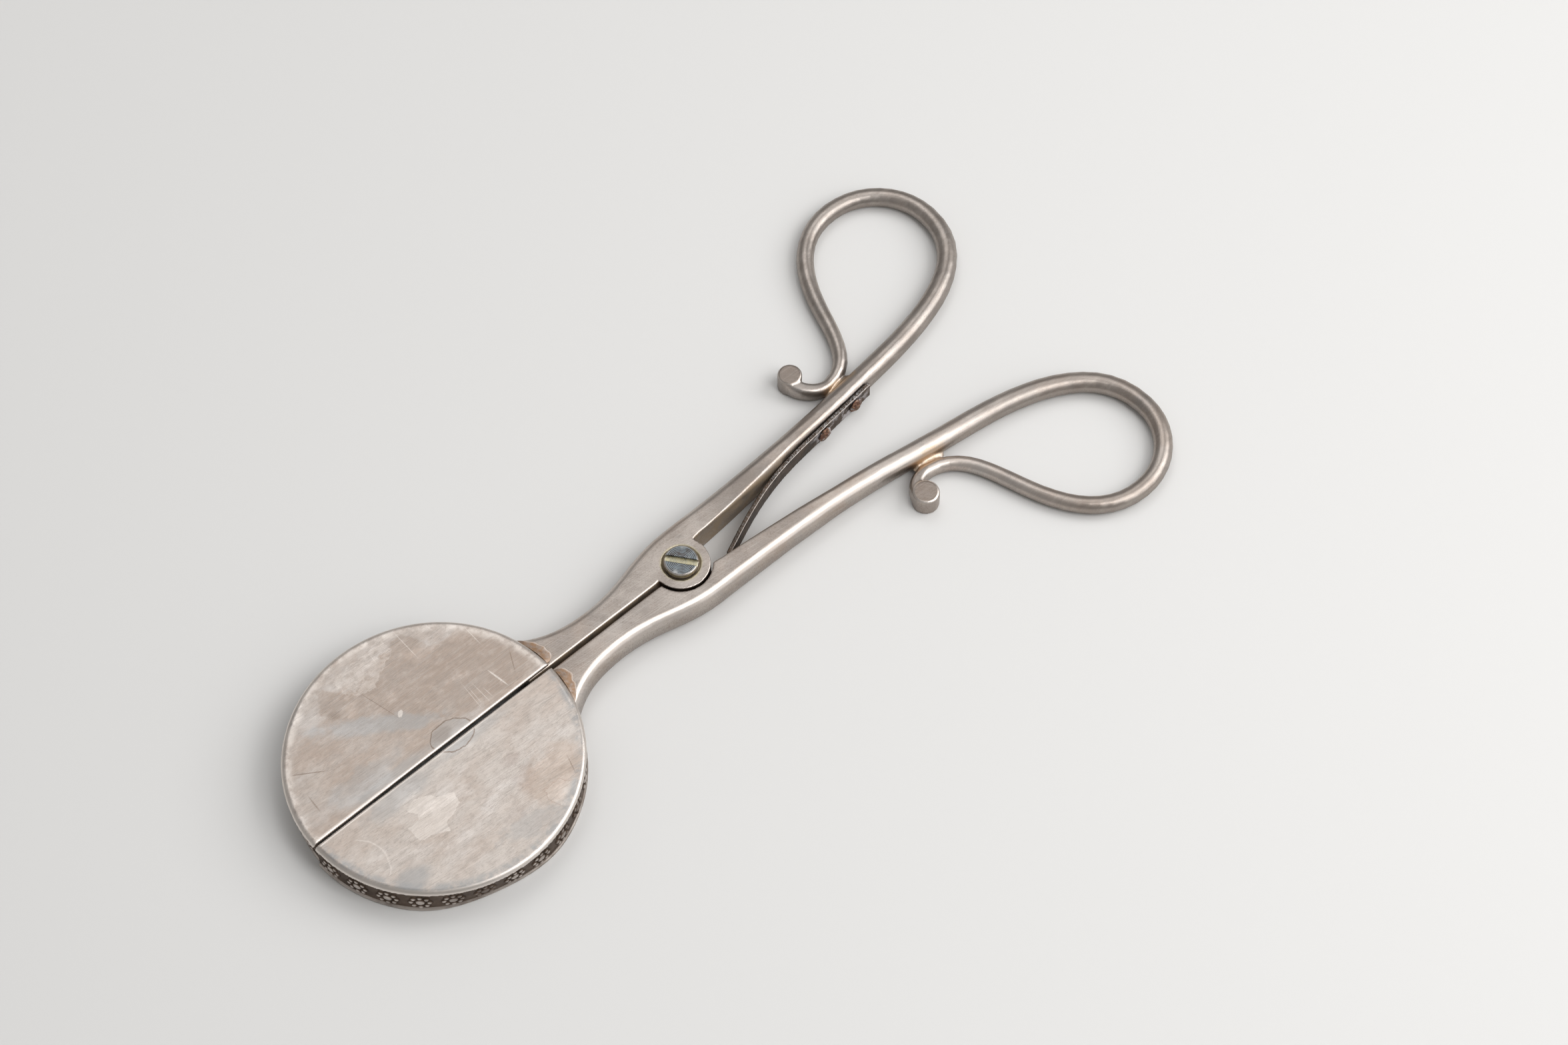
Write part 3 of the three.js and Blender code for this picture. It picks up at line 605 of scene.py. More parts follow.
def forged_silver(tints):
    """Satin silver of the arms: dull flat tops, tan inner sides, brown below, gold at the solder,
    painted shade on the flanks and shank tops, painted highlights on the shanks and scroll rims.
    """
    material, sheet, shader, coords = new_material("forged_silver")
    place = coords["Object"]
    x, y, z = sheet.split(place)
    ny, nz = sheet.split(coords["Normal"])[1:]
    sheet.colour = tints.silver
    sheet.paint(tints.warm, blotches(sheet, place, scale=95.0, cover=0.46, softness=0.16))
    sheet.paint(tints.cool, blotches(sheet, place, scale=150.0, cover=0.40, softness=0.12), 0.5)

    # Dull flat tops and brown ends of the scrolls
    first, last = [
        mark(sheet, place, spot, (reach, reach), ragged=0.08, softness=0.12)
        for spot, reach in SCROLL_ENDS]
    scrolls = sheet.most(first["Mask"], last["Mask"])
    scroll_rim_highlight = sheet.most(first["Rim"], last["Rim"])
    upper = sheet.most(sheet.step(z, 5.2 * MM, 5.6 * MM), scrolls)
    flat = sheet.times(sheet.step(nz, 0.97, 0.993), upper)
    worn = sheet.step(sheet.noise(place, 210.0, 4.0, 0.6), 0.3, 0.7, 0.35, 0.85)
    sheet.paint(tints.dull, flat, worn)
    sheet.paint(tints.brown, scrolls, 0.55)

    # Rubbing marks, fine specks, and duller flanks that are partly tarnish and partly painted shade
    marks = rubbing(sheet, place, turn=0.08, strength=0.9)
    crossed = rubbing(sheet, place, turn=0.9, strength=0.8)
    sheet.paint(tints.pale, marks["Mask"], 0.40)
    sheet.paint(tints.pale, crossed["Mask"], 0.22)
    speck = sheet.noise(place, 4000.0, 2.0, 0.6)
    sheet.paint(tints.brown, sheet.step(speck, 0.58, 0.74, 0.0, 0.34))
    # Painted shade and tarnish: a dull film on faces that turn away from the top, standing in for darker
    # reflections on the rods' sides
    sheet.paint(tints.dull, sheet.step(nz, 0.62, 0.0), sheet.step(speck, 0.3, 0.7, 0.45, 0.75))

    # Dull film on shanks and bows; on the shank tops it follows the lamps' direction as painted shade,
    # leaving a painted highlight line on the left shank, and a pale crest on the right shank is a
    # painted highlight
    # Faces turned to the key and front lamps: this band is left undulled on the left shank as a painted
    # highlight line
    painted_highlight_line = sheet.times(sheet.step(ny, -0.12, -0.32), sheet.step(ny, -0.66, -0.48))
    left = sheet.step(y, SLIT, SLIT + 2 * MM)
    # Left shank: dull film on the top and back, kept off the lamp-facing band, as painted shade
    left_top_film_and_shade = sheet.times(left, sheet.step(painted_highlight_line, 0.0, 1.0, 1.0, 0.0))
    facing_lamps = sheet.step(ny, 0.04, -0.20)
    # Right shank: dull film on the faces turned away from the lamps, as painted shade
    right_top_film_and_shade = sheet.times(sheet.step(left, 0.0, 1.0, 0.5, 0.0), sheet.step(facing_lamps, 1.0, 0.0))
    tops = sheet.times(sheet.plus(left_top_film_and_shade, right_top_film_and_shade), sheet.step(x, 6 * MM, 16 * MM))
    # Bows: dull tarnish film; shank tops: the dull film laid as painted shade
    dull_film_and_shade = sheet.most(sheet.step(x, 50 * MM, 62 * MM, 0.0, 0.8), tops)
    drawn = sheet.stretch(place, (0.4, 1, 1))
    streaky = sheet.step(sheet.noise(drawn, 420.0, 5.0, 0.7), 0.3, 0.7, 0.45, 0.85)
    sheet.paint(tints.dull, dull_film_and_shade, streaky)
    round_top = sheet.work_out("SUBTRACT", sheet.step(nz, 0.35, 0.75), flat, clamp=True)
    right_shank = sheet.times(sheet.step(left, 1.0, 0.0), sheet.step(x, 62 * MM, 48 * MM))
    painted_crest_highlight = sheet.times(sheet.times(right_shank, facing_lamps), round_top)
    # Painted highlight: pale on the right shank's rounded top where it faces the lamps
    sheet.paint(tints.pale, painted_crest_highlight, 0.55)

    # Brown below, tan on the inner sides and gold at the scroll joints
    patchy = sheet.step(sheet.noise(place, 330.0, 4.0, 0.65), 0.32, 0.62, 0.4, 1.0)
    below = sheet.times(sheet.times(sheet.step(nz, 0.05, -0.75), patchy), 0.7)
    sheet.paint(tints.brown, below)
    half = sheet.work_out("SIGN", sheet.minus(y, SLIT))
    outward = sheet.times(half, ny)
    inner_side = sheet.times(sheet.step(outward, -0.5, -0.85), sheet.step(x, 34 * MM, 26 * MM))
    inside = sheet.times(inner_side, patchy)
    sheet.paint(tints.tan, inside, 0.85)
    for spot in SCROLL_JOINTS:
        joint = mark(sheet, place, spot, (3.6, 1.0), ragged=0.5, softness=0.45)
        sheet.paint(tints.gold, joint["Mask"], sheet.step(speck, 0.3, 0.6, 0.2, 0.55))

    # Brown in the recess of the boss, a painted highlight on the rounded rims of the scrolls, residue
    # round the screw
    upward = sheet.step(nz, 0.3, 0.8)
    boss = mark(sheet, place, PIVOT, (5.6, 5.6), ragged=0.0, softness=0.03)["Mask"]
    recess = sheet.times(boss, sheet.step(z, 5.85 * MM, 5.55 * MM))
    sheet.paint(tints.brown, recess, 0.8)
    # Painted highlight: pale on the scrolls' rounded rims where they turn upward
    sheet.paint(tints.pale, sheet.times(scroll_rim_highlight, upward), 0.7)
    collar = mark(sheet, place, PIVOT, (3.4, 3.4), ragged=0.06, softness=0.12)["Rim"]
    sheet.paint(tints.residue, sheet.times(collar, upward), 0.6)

    grainy = sheet.step(speck, 0.3, 0.8, 0.31, 0.45)
    rough = sheet.plus(sheet.times(marks["Mask"], 0.10), grainy)
    dulled = sheet.most(sheet.most(below, inside), sheet.times(flat, 0.7))
    surface(sheet, shader, metallic=sheet.step(inside, 0.0, 1.0, 1.0, 0.45),
            roughness=sheet.plus(rough, sheet.times(dulled, 0.16)),
            height=sheet.plus(marks["Height"], sheet.times(speck, 0.6)), strength=0.16, depth=0.02 * MM)
    return material


def worn_plate(tints):
    """Scratched plate of the covers, with its stains, flaked patch, water mark and painted highlights on
    the edges.
    """
    material, sheet, shader, coords = new_material("worn_plate")
    place = coords["Object"]
    x, y = sheet.split(place)[:2]
    nz = sheet.split(coords["Normal"])[2]
    left = sheet.step(y, SLIT - 0.2 * MM, SLIT + 0.2 * MM)
    drawn = sheet.stretch(place, (0.55, 1, 1))
    sheet.colour = tints.silver
    sheet.paint(tints.warm, blotches(sheet, drawn, scale=130.0, cover=0.48, softness=0.12))
    sheet.paint(tints.warm, left, 0.35)
    cool = sheet.times(blotches(sheet, drawn, scale=210.0, cover=0.42, softness=0.10), 0.42)
    sheet.paint(tints.cool, cool)
    sheet.paint(tints.pale, sheet.step(left, 0.0, 1.0, 0.28, 0.0))

    # Brown film on the left half, and the grain and mottling of the plate
    browned = stain(sheet, place, "brown_film", ragged=1.8, softness=0.35, grain=260.0)
    clouded = sheet.step(sheet.noise(place, 330.0, 4.0, 0.6), 0.34, 0.62, 0.3, 0.9)
    sheet.paint(tints.warm, browned["Mask"], clouded)
    sheet.paint(tints.umber, browned["Mask"], 0.22)
    sheet.paint(tints.brown, browned["Rim"], 0.12)
    grain = sheet.noise(sheet.stretch(place, (1500, 5200, 1500)), 1.0, 3.0, 0.7)
    sheet.paint(tints.dull, sheet.step(grain, 0.48, 0.72, 0.0, 0.45))
    mottle = sheet.noise(drawn, 1100.0, 4.0, 0.65)
    sheet.paint(tints.dull, sheet.step(mottle, 0.46, 0.70, 0.0, 0.27))
    sheet.paint(tints.pale, sheet.step(mottle, 0.50, 0.30, 0.0, 0.18))

    # Stains, spots, scratches and water marks
    crumbly = sheet.noise(place, 620.0, 5.0, 0.7)
    for name, ragged, softness, scale, least, amount, rim_tint, rim_amount in FILMS:
        film = stain(sheet, place, name, ragged, softness, scale)
        crumbs = sheet.step(crumbly, 0.42, 0.56, least * amount, amount)
        sheet.paint(tints.pale, film["Mask"], crumbs)
        sheet.paint(getattr(tints, rim_tint), film["Rim"], rim_amount)
    for spot, reach, ragged, softness, scale, turn, tint, amount in COVER_MARKS:
        blot = mark(sheet, place, spot, reach, ragged, softness, scale, turn)
        sheet.paint(getattr(tints, tint), blot["Mask"], amount)
    spot, reach = OVAL_SPOTS[0][:2]
    oval = mark(sheet, place, spot, reach, ragged=0.22, softness=0.06, grain=300.0, turn=-12)
    sheet.paint(tints.brown, oval["Rim"], 0.8)
    water = mark(sheet, place, (-76.8, -8.1), (5.0, 5.2), ragged=0.08, softness=0.05, grain=260.0)
    arc = sheet.times(water["Rim"], sheet.step(x, -74.4 * MM, -73.4 * MM))
    sheet.paint(tints.pale, arc, 0.5)

    # Rubbing marks and smears, the broken strip inside the outer edge, and a painted highlight on the
    # outer edge and along the slit
    marks = rubbing(sheet, place, turn=0.0, strength=1.0)
    sheet.paint(tints.pale, marks["Mask"], 0.40)
    smears = rubbing(sheet, place, turn=0.12, strength=1.0)
    sheet.paint(tints.dull, smears["Mask"], 0.30)
    from_middle = sheet.plan_length(sheet.vector("SUBTRACT", place, tuple(CAP_CENTRE)))
    strip = sheet.step(from_middle, CAP_RADIUS - 2.4 * MM, CAP_RADIUS - 1.2 * MM)
    broken = sheet.step(sheet.noise(place, 420.0, 5.0, 0.7), 0.40, 0.60, 0.1, 0.75)
    sheet.paint(sheet.mix(left, tints.cool, tints.pale), strip, broken)
    # Painted highlight: pale along the rounded outer edge and both slit edges, with lower roughness
    # there
    edge = sheet.step(from_middle, CAP_RADIUS - 0.8 * MM, CAP_RADIUS - 0.4 * MM)
    beside_slit = sheet.work_out("ABSOLUTE", sheet.minus(y, SLIT))
    bright = sheet.most(edge, sheet.step(beside_slit, 0.85 * MM, 0.55 * MM))
    sheet.paint(tints.pale, bright, 0.85)
    sheet.paint(tints.brown, sheet.step(nz, 0.0, -0.6), 0.8)

    filmed = sheet.step(cool, 0.0, 0.45, 0.44, 0.36)
    rough = sheet.plus(sheet.times(marks["Mask"], 0.10), filmed)
    surface(sheet, shader, metallic=1.0, roughness=sheet.minus(rough, sheet.times(bright, 0.08)),
            height=sheet.plus(marks["Height"], sheet.times(grain, 0.8)), strength=0.35, depth=0.02 * MM)
    return material


def stamped_band(tints):
    """Brown tarnished wall: bright on the raised rosettes and along the foot, dark round them."""
    material, sheet, shader, coords = new_material("stamped_band")
    place = coords["Object"]
    z = sheet.split(place)[2]
    relief = sheet.attribute("relief")
    film = blotches(sheet, place, scale=260.0, cover=0.45, softness=0.2)
    sheet.colour = tints.brown
    sheet.paint(tints.umber, film)
    sheet.paint(tints.tan, sheet.step(sheet.noise(place, 900.0, 3.0, 0.6), 0.5, 0.8, 0.0, 0.3))
    sheet.paint(tints.spring, sheet.step(film, 0.0, 1.0, 0.65, 0.35))
    sheet.paint(tints.spring, sheet.step(relief, -0.05, -0.3), 0.85)
    rubbed = sheet.step(sheet.noise(place, 110.0, 2.0, 0.5), 0.36, 0.6, 0.25, 1.0)
    raised = sheet.times(sheet.step(relief, 0.3, 0.85), rubbed)
    broken = sheet.step(sheet.noise(place, 240.0, 3.0, 0.6), 0.3, 0.6, 0.4, 0.9)
    foot = sheet.times(sheet.step(z, 1.05 * MM, 0.75 * MM), broken)
    bright = sheet.most(raised, foot)
    sheet.paint(tints.silver, bright)
    surface(sheet, shader, metallic=0.92, roughness=sheet.step(bright, 0.0, 1.0, 0.52, 0.30),
            height=sheet.noise(place, 1500.0, 4.0, 0.65), strength=0.35, depth=0.06 * MM)
    return material


def turned_steel(tints):
    """Blue-grey screw steel with turning rings, polish left in the slot, and a painted highlight in pale
    and gold round the head's edge and side.
    """
    material, sheet, shader, coords = new_material("turned_steel")
    place = coords["Object"]
    z = sheet.split(place)[2]
    from_axis = sheet.plan_length(place)
    rings = sheet.work_out("SINE", sheet.times(from_axis, 2 * math.pi / (0.28 * MM)))
    wander = sheet.noise(place, 900.0, 4.0, 0.6)
    tone = sheet.plus(sheet.times(rings, 0.22), wander)
    sheet.colour = tints.spring
    sheet.paint(tints.steel, sheet.step(tone, 0.25, 0.8))
    sheet.paint(tints.cool, sheet.step(sheet.noise(place, 420.0, 3.0, 0.6), 0.52, 0.68, 0.0, 0.7))
    sunk = sheet.step(z, SCREW_TOP - 0.18 * MM, SCREW_TOP - 0.45 * MM)
    slot = sheet.times(sunk, sheet.step(from_axis, 2.9 * MM, 2.6 * MM))
    crumbs = sheet.step(sheet.noise(place, 1200.0, 3.0, 0.6), 0.3, 0.6, 0.45, 0.95)
    caked = sheet.times(slot, crumbs)
    sheet.paint(tints.residue, caked)
    # Painted highlight: pale on the head's outer edge and pale gold down its side
    rim = sheet.step(from_axis, 2.6 * MM, 2.85 * MM, 0.0, 0.7)
    side_highlight = sheet.step(z, SCREW_TOP - 0.15 * MM, SCREW_TOP - 0.35 * MM, 0.0, 0.6)
    sheet.paint(sheet.mix(side_highlight, tints.pale, tints.residue), rim)
    surface(sheet, shader, metallic=sheet.step(caked, 0.0, 1.0, 1.0, 0.25),
            roughness=sheet.step(wander, 0.3, 0.7, 0.24, 0.42),
            height=sheet.plus(sheet.times(rings, 0.5), wander), strength=0.25, depth=0.03 * MM)
    return material


def hatched_spring(tints):
    """Brown-black spring strip whose upper edge is filed bright across, with a painted highlight along
    its front upper edge.
    """
    material, sheet, shader, coords = new_material("hatched_spring")
    place = coords["Object"]
    x = sheet.split(place)[0]
    ny, nz = sheet.split(coords["Normal"])[1:]
    file_marks = (5200, 1700, 700)
    first = sheet.noise(sheet.stretch(place, file_marks, 0.7), 1.0, 2.0, 0.6)
    second = sheet.noise(sheet.stretch(place, file_marks, -0.8), 1.0, 2.0, 0.6)
    hatch = sheet.most(sheet.step(first, 0.48, 0.62), sheet.step(second, 0.50, 0.64))
    filed = sheet.step(x, 16 * MM, 32 * MM, 0.35, 1.0)
    top = sheet.times(sheet.step(nz, 0.35, 0.8), sheet.times(hatch, filed))
    sheet.colour = tints.spring
    sheet.paint(tints.brown, blotches(sheet, place, scale=240.0, cover=0.5, softness=0.2), 0.6)
    sheet.paint(tints.cool, top, 0.65)
    # Painted highlight: a pale line along the rounded upper edge where it faces the lamps
    edge = sheet.times(sheet.step(nz, 0.30, 0.55), sheet.step(nz, 0.95, 0.80))
    sheet.paint(tints.pale, sheet.times(edge, sheet.step(ny, -0.10, -0.35)), 0.6)
    front, rear = [
        mark(sheet, place, spot, (3.2, 2.2), ragged=0.6, softness=0.4)["Mask"] for spot in RIVETS]
    smear = sheet.times(sheet.most(front, rear), sheet.step(nz, 0.6, 0.3))
    patch = sheet.step(sheet.noise(place, 520.0, 3.0, 0.6), 0.46, 0.6)
    sheet.paint(tints.chalk, sheet.times(smear, patch), 0.8)
    grit = sheet.noise(place, 1300.0, 3.0, 0.6)
    surface(sheet, shader, metallic=0.9, roughness=sheet.step(top, 0.0, 1.0, 0.5, 0.28),
            height=sheet.plus(hatch, grit), strength=0.4, depth=0.05 * MM)
    return material


def rusty_copper(tints):
    """Crusted rivet heads: rusty copper with chalky residue."""
    material, sheet, shader, coords = new_material("rusty_copper")
    place = coords["Object"]
    rough = sheet.noise(place, 1100.0, 4.0, 0.65)
    fine = sheet.noise(place, 2100.0, 3.0, 0.65)
    sheet.colour = tints.brown
    sheet.paint(tints.rust, sheet.step(rough, 0.35, 0.65))
    sheet.paint(tints.solder, sheet.step(fine, 0.54, 0.66, 0.0, 0.7))
    sheet.paint(tints.spring, sheet.step(fine, 0.48, 0.38, 0.0, 0.8))
    sheet.paint(tints.chalk, blotches(sheet, place, scale=620.0, cover=0.42, softness=0.06), 0.8)
    surface(sheet, shader, metallic=0.6, roughness=sheet.step(rough, 0.3, 0.7, 0.62, 0.42),
            height=sheet.plus(rough, fine), strength=0.7, depth=0.1 * MM)
    return material


def tan_solder(tints):
    """Solder crescents: grainy tan with a paler outline."""
    material, sheet, shader, coords = new_material("tan_solder")
    place = coords["Object"]
    grain = sheet.noise(place, 1500.0, 4.0, 0.65)
    sheet.colour = tints.solder
    sheet.paint(tints.warm, sheet.step(grain, 0.35, 0.68))
    sheet.paint(tints.brown, sheet.step(sheet.noise(place, 480.0, 3.0, 0.6), 0.52, 0.7, 0.0, 0.7))
    sheet.paint(tints.pale, sheet.step(sheet.attribute("outline"), 0.72, 0.96, 0.0, 0.65))
    surface(sheet, shader, metallic=0.85, roughness=sheet.step(grain, 0.3, 0.7, 0.62, 0.45),
            height=grain, strength=0.5, depth=0.08 * MM)
    return material


def pale_floor(colour):
    """Plain pale floor with a hint of cloudiness."""
    material, sheet, shader, coords = new_material("pale_floor")
    clouds = sheet.noise(coords["Object"], 6.0, 3.0, 0.5)
    darker = [c * 0.985 for c in colour]
    sheet.fill(shader.inputs["Base Color"], sheet.mix(clouds, tuple(colour), darker))
    shader.inputs["Roughness"].default_value = 0.85
    shader.inputs["Specular IOR Level"].default_value = 0.2
    return material


# Pieces

class SNUFFER_OT_arms(bpy.types.Operator):
    """Make the two forged arms with softly worn edges and uneven hand-forged sides"""

    bl_idname = "snuffer.arms"
    bl_label = "Arms"

    def execute(self, context):
        sizes = context.scene.snuffer_sizes
        material = forged_silver(context.scene.snuffer_finish)
        for side in SIDES:
            piece = merged_copy(side + "_arm", side + "_forged_arm")
            forge(piece, sizes.arm_grain, passes=2)
            uneven(piece, size=7 * MM, depth=0.05 * MM, seed=1)
            uneven(piece, size=1.6 * MM, depth=0.012 * MM, seed=2)
            smooth(piece)
            finish(piece, material, side + "_half", "silver", side + "_arm")
        return {"FINISHED"}


def edge_distance(point, first, last):
    """Distance of a point from the straight line between two points."""
    along = last - first
    share = min(max((point - first).dot(along) / along.length_squared, 0), 1)
    return (point - first - along * share).length


def outline_distance(point, outline):
    """Distance of a point from a closed outline, negative inside it."""
    inside = False
    nearest = FAR_FROM_STAIN
    for first, last in zip(outline, outline[1:] + outline[:1]):
        nearest = min(nearest, edge_distance(point, first, last))
        if (first.y > point.y) != (last.y > point.y):
            crossing = first.x + (point.y - first.y) / (last.y - first.y) * (last.x - first.x)
            inside ^= point.x < crossing
    return -nearest if inside else nearest


def keep_stains(piece, side):
    """Keep how far each point of a cover's face is from the outlined stains, in millimetres."""
    mesh = piece.data
    for name, (half, points) in STAINS.items():
        outline = [Vector(point) for point in points]
        distances = [FAR_FROM_STAIN] * len(mesh.vertices)
        for index, vertex in enumerate(mesh.vertices):
            if half == side and vertex.normal.z > 0.5:
                place = Vector((vertex.co.x, vertex.co.y - SLIT)) / MM
                distances[index] = outline_distance(place, outline)
        keep_values(mesh, name, distances)


def is_rim(edge):
    """True for an edge of a cover's upper outer arc."""
    middle = (edge.verts[0].co + edge.verts[1].co) / 2 - CAP_CENTRE
    upper = abs(middle.z - COVER_TOP) < SAME_HEIGHT
    return upper and math.hypot(middle.x, middle.y) > CAP_RADIUS * 0.999


def is_slit_edge(edge):
    """True for the long upper edge of a cover along the slit."""
    first, last = [corner.co for corner in edge.verts]
    return min(first.z, last.z) > COVER_TOP - SAME_HEIGHT and (first - last).length > CAP_RADIUS


def bevel_edges(piece, wanted, offset, segments):
    """Round the edges for which wanted(edge) is true."""
    choose(piece)
    bpy.ops.object.mode_set(mode="EDIT")
    bpy.ops.mesh.select_mode(type="EDGE")
    bpy.ops.mesh.select_all(action="DESELECT")
    shape = bmesh.from_edit_mesh(piece.data)
    for edge in shape.edges:
        edge.select_set(wanted(edge))
    bmesh.update_edit_mesh(piece.data)
    bpy.ops.mesh.bevel(offset=offset, segments=segments, affect="EDGES")
    bpy.ops.object.mode_set(mode="OBJECT")


def turn_about(piece, centre, angle):
    """Turn a piece by an angle in plan about a point and apply the turn to its mesh."""
    choose(piece)
    turn = Matrix.Rotation(angle, 4, "Z")
    piece.matrix_world = Matrix.Translation(centre) @ turn @ Matrix.Translation(-centre)
    bpy.ops.object.transform_apply(location=True, rotation=True, scale=True)


class SNUFFER_OT_covers(bpy.types.Operator):
    """Make the two half-round covers: a disc cut along the slit, with round edges and uneven face"""

    bl_idname = "snuffer.covers"
    bl_label = "Covers"

    def execute(self, context):
        sizes = context.scene.snuffer_sizes
        material = worn_plate(context.scene.snuffer_finish)
        half_gap = (sizes.slit_at_tip + sizes.slit_at_neck) / 4
        lean = (sizes.slit_at_neck - sizes.slit_at_tip) / (4 * CAP_RADIUS)
        for side, sign in SIDES.items():
            deselect()
            bpy.ops.mesh.primitive_cylinder_add(
                vertices=180, radius=CAP_RADIUS, depth=COVER_TOP - COVER_FOOT,
                location=(CAP_CENTRE.x, SLIT, (COVER_TOP + COVER_FOOT) / 2))
            piece = context.object
            piece.name = side + "_plate"
            bpy.ops.object.transform_apply(location=True, rotation=True, scale=True)
            edit_all(piece, bpy.ops.mesh.bisect, plane_co=(CAP_CENTRE.x, SLIT + sign * half_gap, 0),
                     plane_no=(0, sign, 0), use_fill=True, clear_inner=True)
            bevel_edges(piece, is_rim, sizes.cover_edge, segments=6)
            bevel_edges(piece, is_slit_edge, sizes.slit_edge, segments=2)
            forge(piece, sizes.plate_grain, passes=2)
            turn_about(piece, CAP_CENTRE, sign * lean)
            uneven(piece, size=11 * MM, depth=0.035 * MM, seed=3)
            keep_stains(piece, side)
            smooth(piece)
            finish(piece, material, side + "_half", "worn_silver", side + "_cover")
        return {"FINISHED"}


def rosette_relief(along, up, sizes):
    """Height of a rosette, as a share of the relief, at a place beside its middle."""
    away = math.hypot(along, up)
    if away < sizes.rosette_eye:
        return math.sqrt(1 - (away / sizes.rosette_eye) ** 2)
    turn = 2 * math.pi / sizes.petal_count
    angle = round(math.atan2(up, along) / turn) * turn
    middle = Vector((math.cos(angle), math.sin(angle))) * sizes.rosette_ring
    beside = math.hypot(along - middle.x, up - middle.y)
    if beside < sizes.petal_radius:
        return PETAL_HEIGHT * math.sqrt(1 - (beside / sizes.petal_radius) ** 2)
    from_eye = abs(away - sizes.rosette_eye) / EYE_GROOVE
    from_petal = (beside - sizes.petal_radius) / PETAL_GROOVE
    return -GROOVE_DEPTH * max(0.0, 1 - min(from_eye, from_petal))


def stamp_rosettes(piece, sign, sizes):
    """Press the row of rosettes into the outer face of a wall and keep their height as an attribute."""
    mesh = piece.data
    heights = [0.0] * len(mesh.vertices)
    places = [vertex.co.copy() for vertex in mesh.vertices]
    for index, vertex in enumerate(mesh.vertices):
        away = vertex.co - CAP_CENTRE
        outward = Vector((away.x, away.y, 0)).normalized()
        if vertex.normal.dot(outward) < 0.5 or away.z < PLAIN_FOOT:
            continue
        angle = math.atan2(sign * away.y, away.x)
        count = round((angle - sizes.rosette_first) / sizes.rosette_step)
        if not 0 <= count < sizes.rosette_count:
            continue
        along = (angle - sizes.rosette_first - count * sizes.rosette_step) * CAP_RADIUS
        heights[index] = rosette_relief(along, away.z - sizes.rosette_height, sizes)
        places[index] = vertex.co + outward * (heights[index] * sizes.relief)
    move_points(mesh, places)
    keep_values(mesh, "relief", heights)


class SNUFFER_OT_walls(bpy.types.Operator):
    """Make the two half-round walls with their row of stamped rosettes"""

    bl_idname = "snuffer.walls"
    bl_label = "Stamped Walls"

    def execute(self, context):
        sizes = context.scene.snuffer_sizes
        material = stamped_band(context.scene.snuffer_finish)
        for side, sign in SIDES.items():
            piece = merged_copy(side + "_wall", side + "_stamped_wall")
            forge(piece, sizes.band_grain, passes=2)
            stamp_rosettes(piece, sign, sizes)
            smooth(piece)
            finish(piece, material, side + "_half", "tarnished_silver", side + "_wall")
        return {"FINISHED"}


class SNUFFER_OT_screw(bpy.types.Operator):
    """Make the pivot screw with worn slot edges"""

    bl_idname = "snuffer.screw"
    bl_label = "Pivot Screw"

    def execute(self, context):
        piece = merged_copy("pivot_screw", "slotted_screw")
        forge(piece, grain=0.08 * MM, passes=3)
        uneven(piece, size=0.9 * MM, depth=0.02 * MM, seed=4)
        smooth(piece)
        material = turned_steel(context.scene.snuffer_finish)
        finish(piece, material, "right_half", "screw_steel", "pivot_screw")
        return {"FINISHED"}


class SNUFFER_OT_spring(bpy.types.Operator):
    """Make the leaf spring, curved between the arms, and its two crusted rivets"""

    bl_idname = "snuffer.spring"
    bl_label = "Leaf Spring and Rivets"

    def execute(self, context):
        tints = context.scene.snuffer_finish
        strip = merged_copy("leaf_spring", "bent_leaf_spring")
        forge(strip, grain=0.13 * MM, passes=2)
        uneven(strip, size=1.2 * MM, depth=0.03 * MM, seed=5)
        smooth(strip)
        finish(strip, hatched_spring(tints), None, "spring_steel", "leaf_spring")
        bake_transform(strip)
        copper = rusty_copper(tints)
        for index, node in enumerate(("front_spring_rivet", "rear_spring_rivet")):
            piece = merged_copy(node, node.replace("spring_rivet", "crusted_rivet"))
            forge(piece, grain=0.09 * MM, passes=3)
            uneven(piece, size=0.7 * MM, depth=0.16 * MM, seed=6 + index)
            uneven(piece, size=0.32 * MM, depth=0.09 * MM, seed=8 + index)
            smooth(piece)
            finish(piece, copper, "left_half", "rivet_copper", node)
        return {"FINISHED"}


def shape_crescent(piece, sign, sizes):
    """Lay a flat grid round the cover's edge as a low fillet of solder and keep its outline."""
    near, far = 0.95 * MM, 7.6 * MM
    tuck = 0.12 * MM
    lift = 0.02 * MM
    lump_size, lump_height = 0.8 * MM, 0.05 * MM
    places = []
    outline = []
    for vertex in piece.data.vertices:
        across = min(max(vertex.co.x + 0.5, 0), 1)
        out = vertex.co.y + 0.5
        y = near + (far - near) * across
        belly = math.sin(math.pi * (0.03 + 0.96 * across ** 0.66)) ** 0.8
        wander = 1 + 0.25 * noise.noise(Vector((across * 5, sign * 3.0, 0)))
        radius = CAP_RADIUS - tuck + sizes.solder_reach * belly * wander * out
        x = CAP_CENTRE.x + math.sqrt(max(radius ** 2 - y ** 2, 0))
        rise = sizes.solder_rise * (1 - out) ** 1.8 * belly
        lump = lump_height * noise.noise(Vector((x, y, 0)) / lump_size) * (1 - out)
        places.append(Vector((x, SLIT + sign * y, COVER_FOOT + lift + rise + lump)))
        outline.append(max(out, 1 - belly))
    move_points(piece.data, places)
    keep_values(piece.data, "outline", outline)


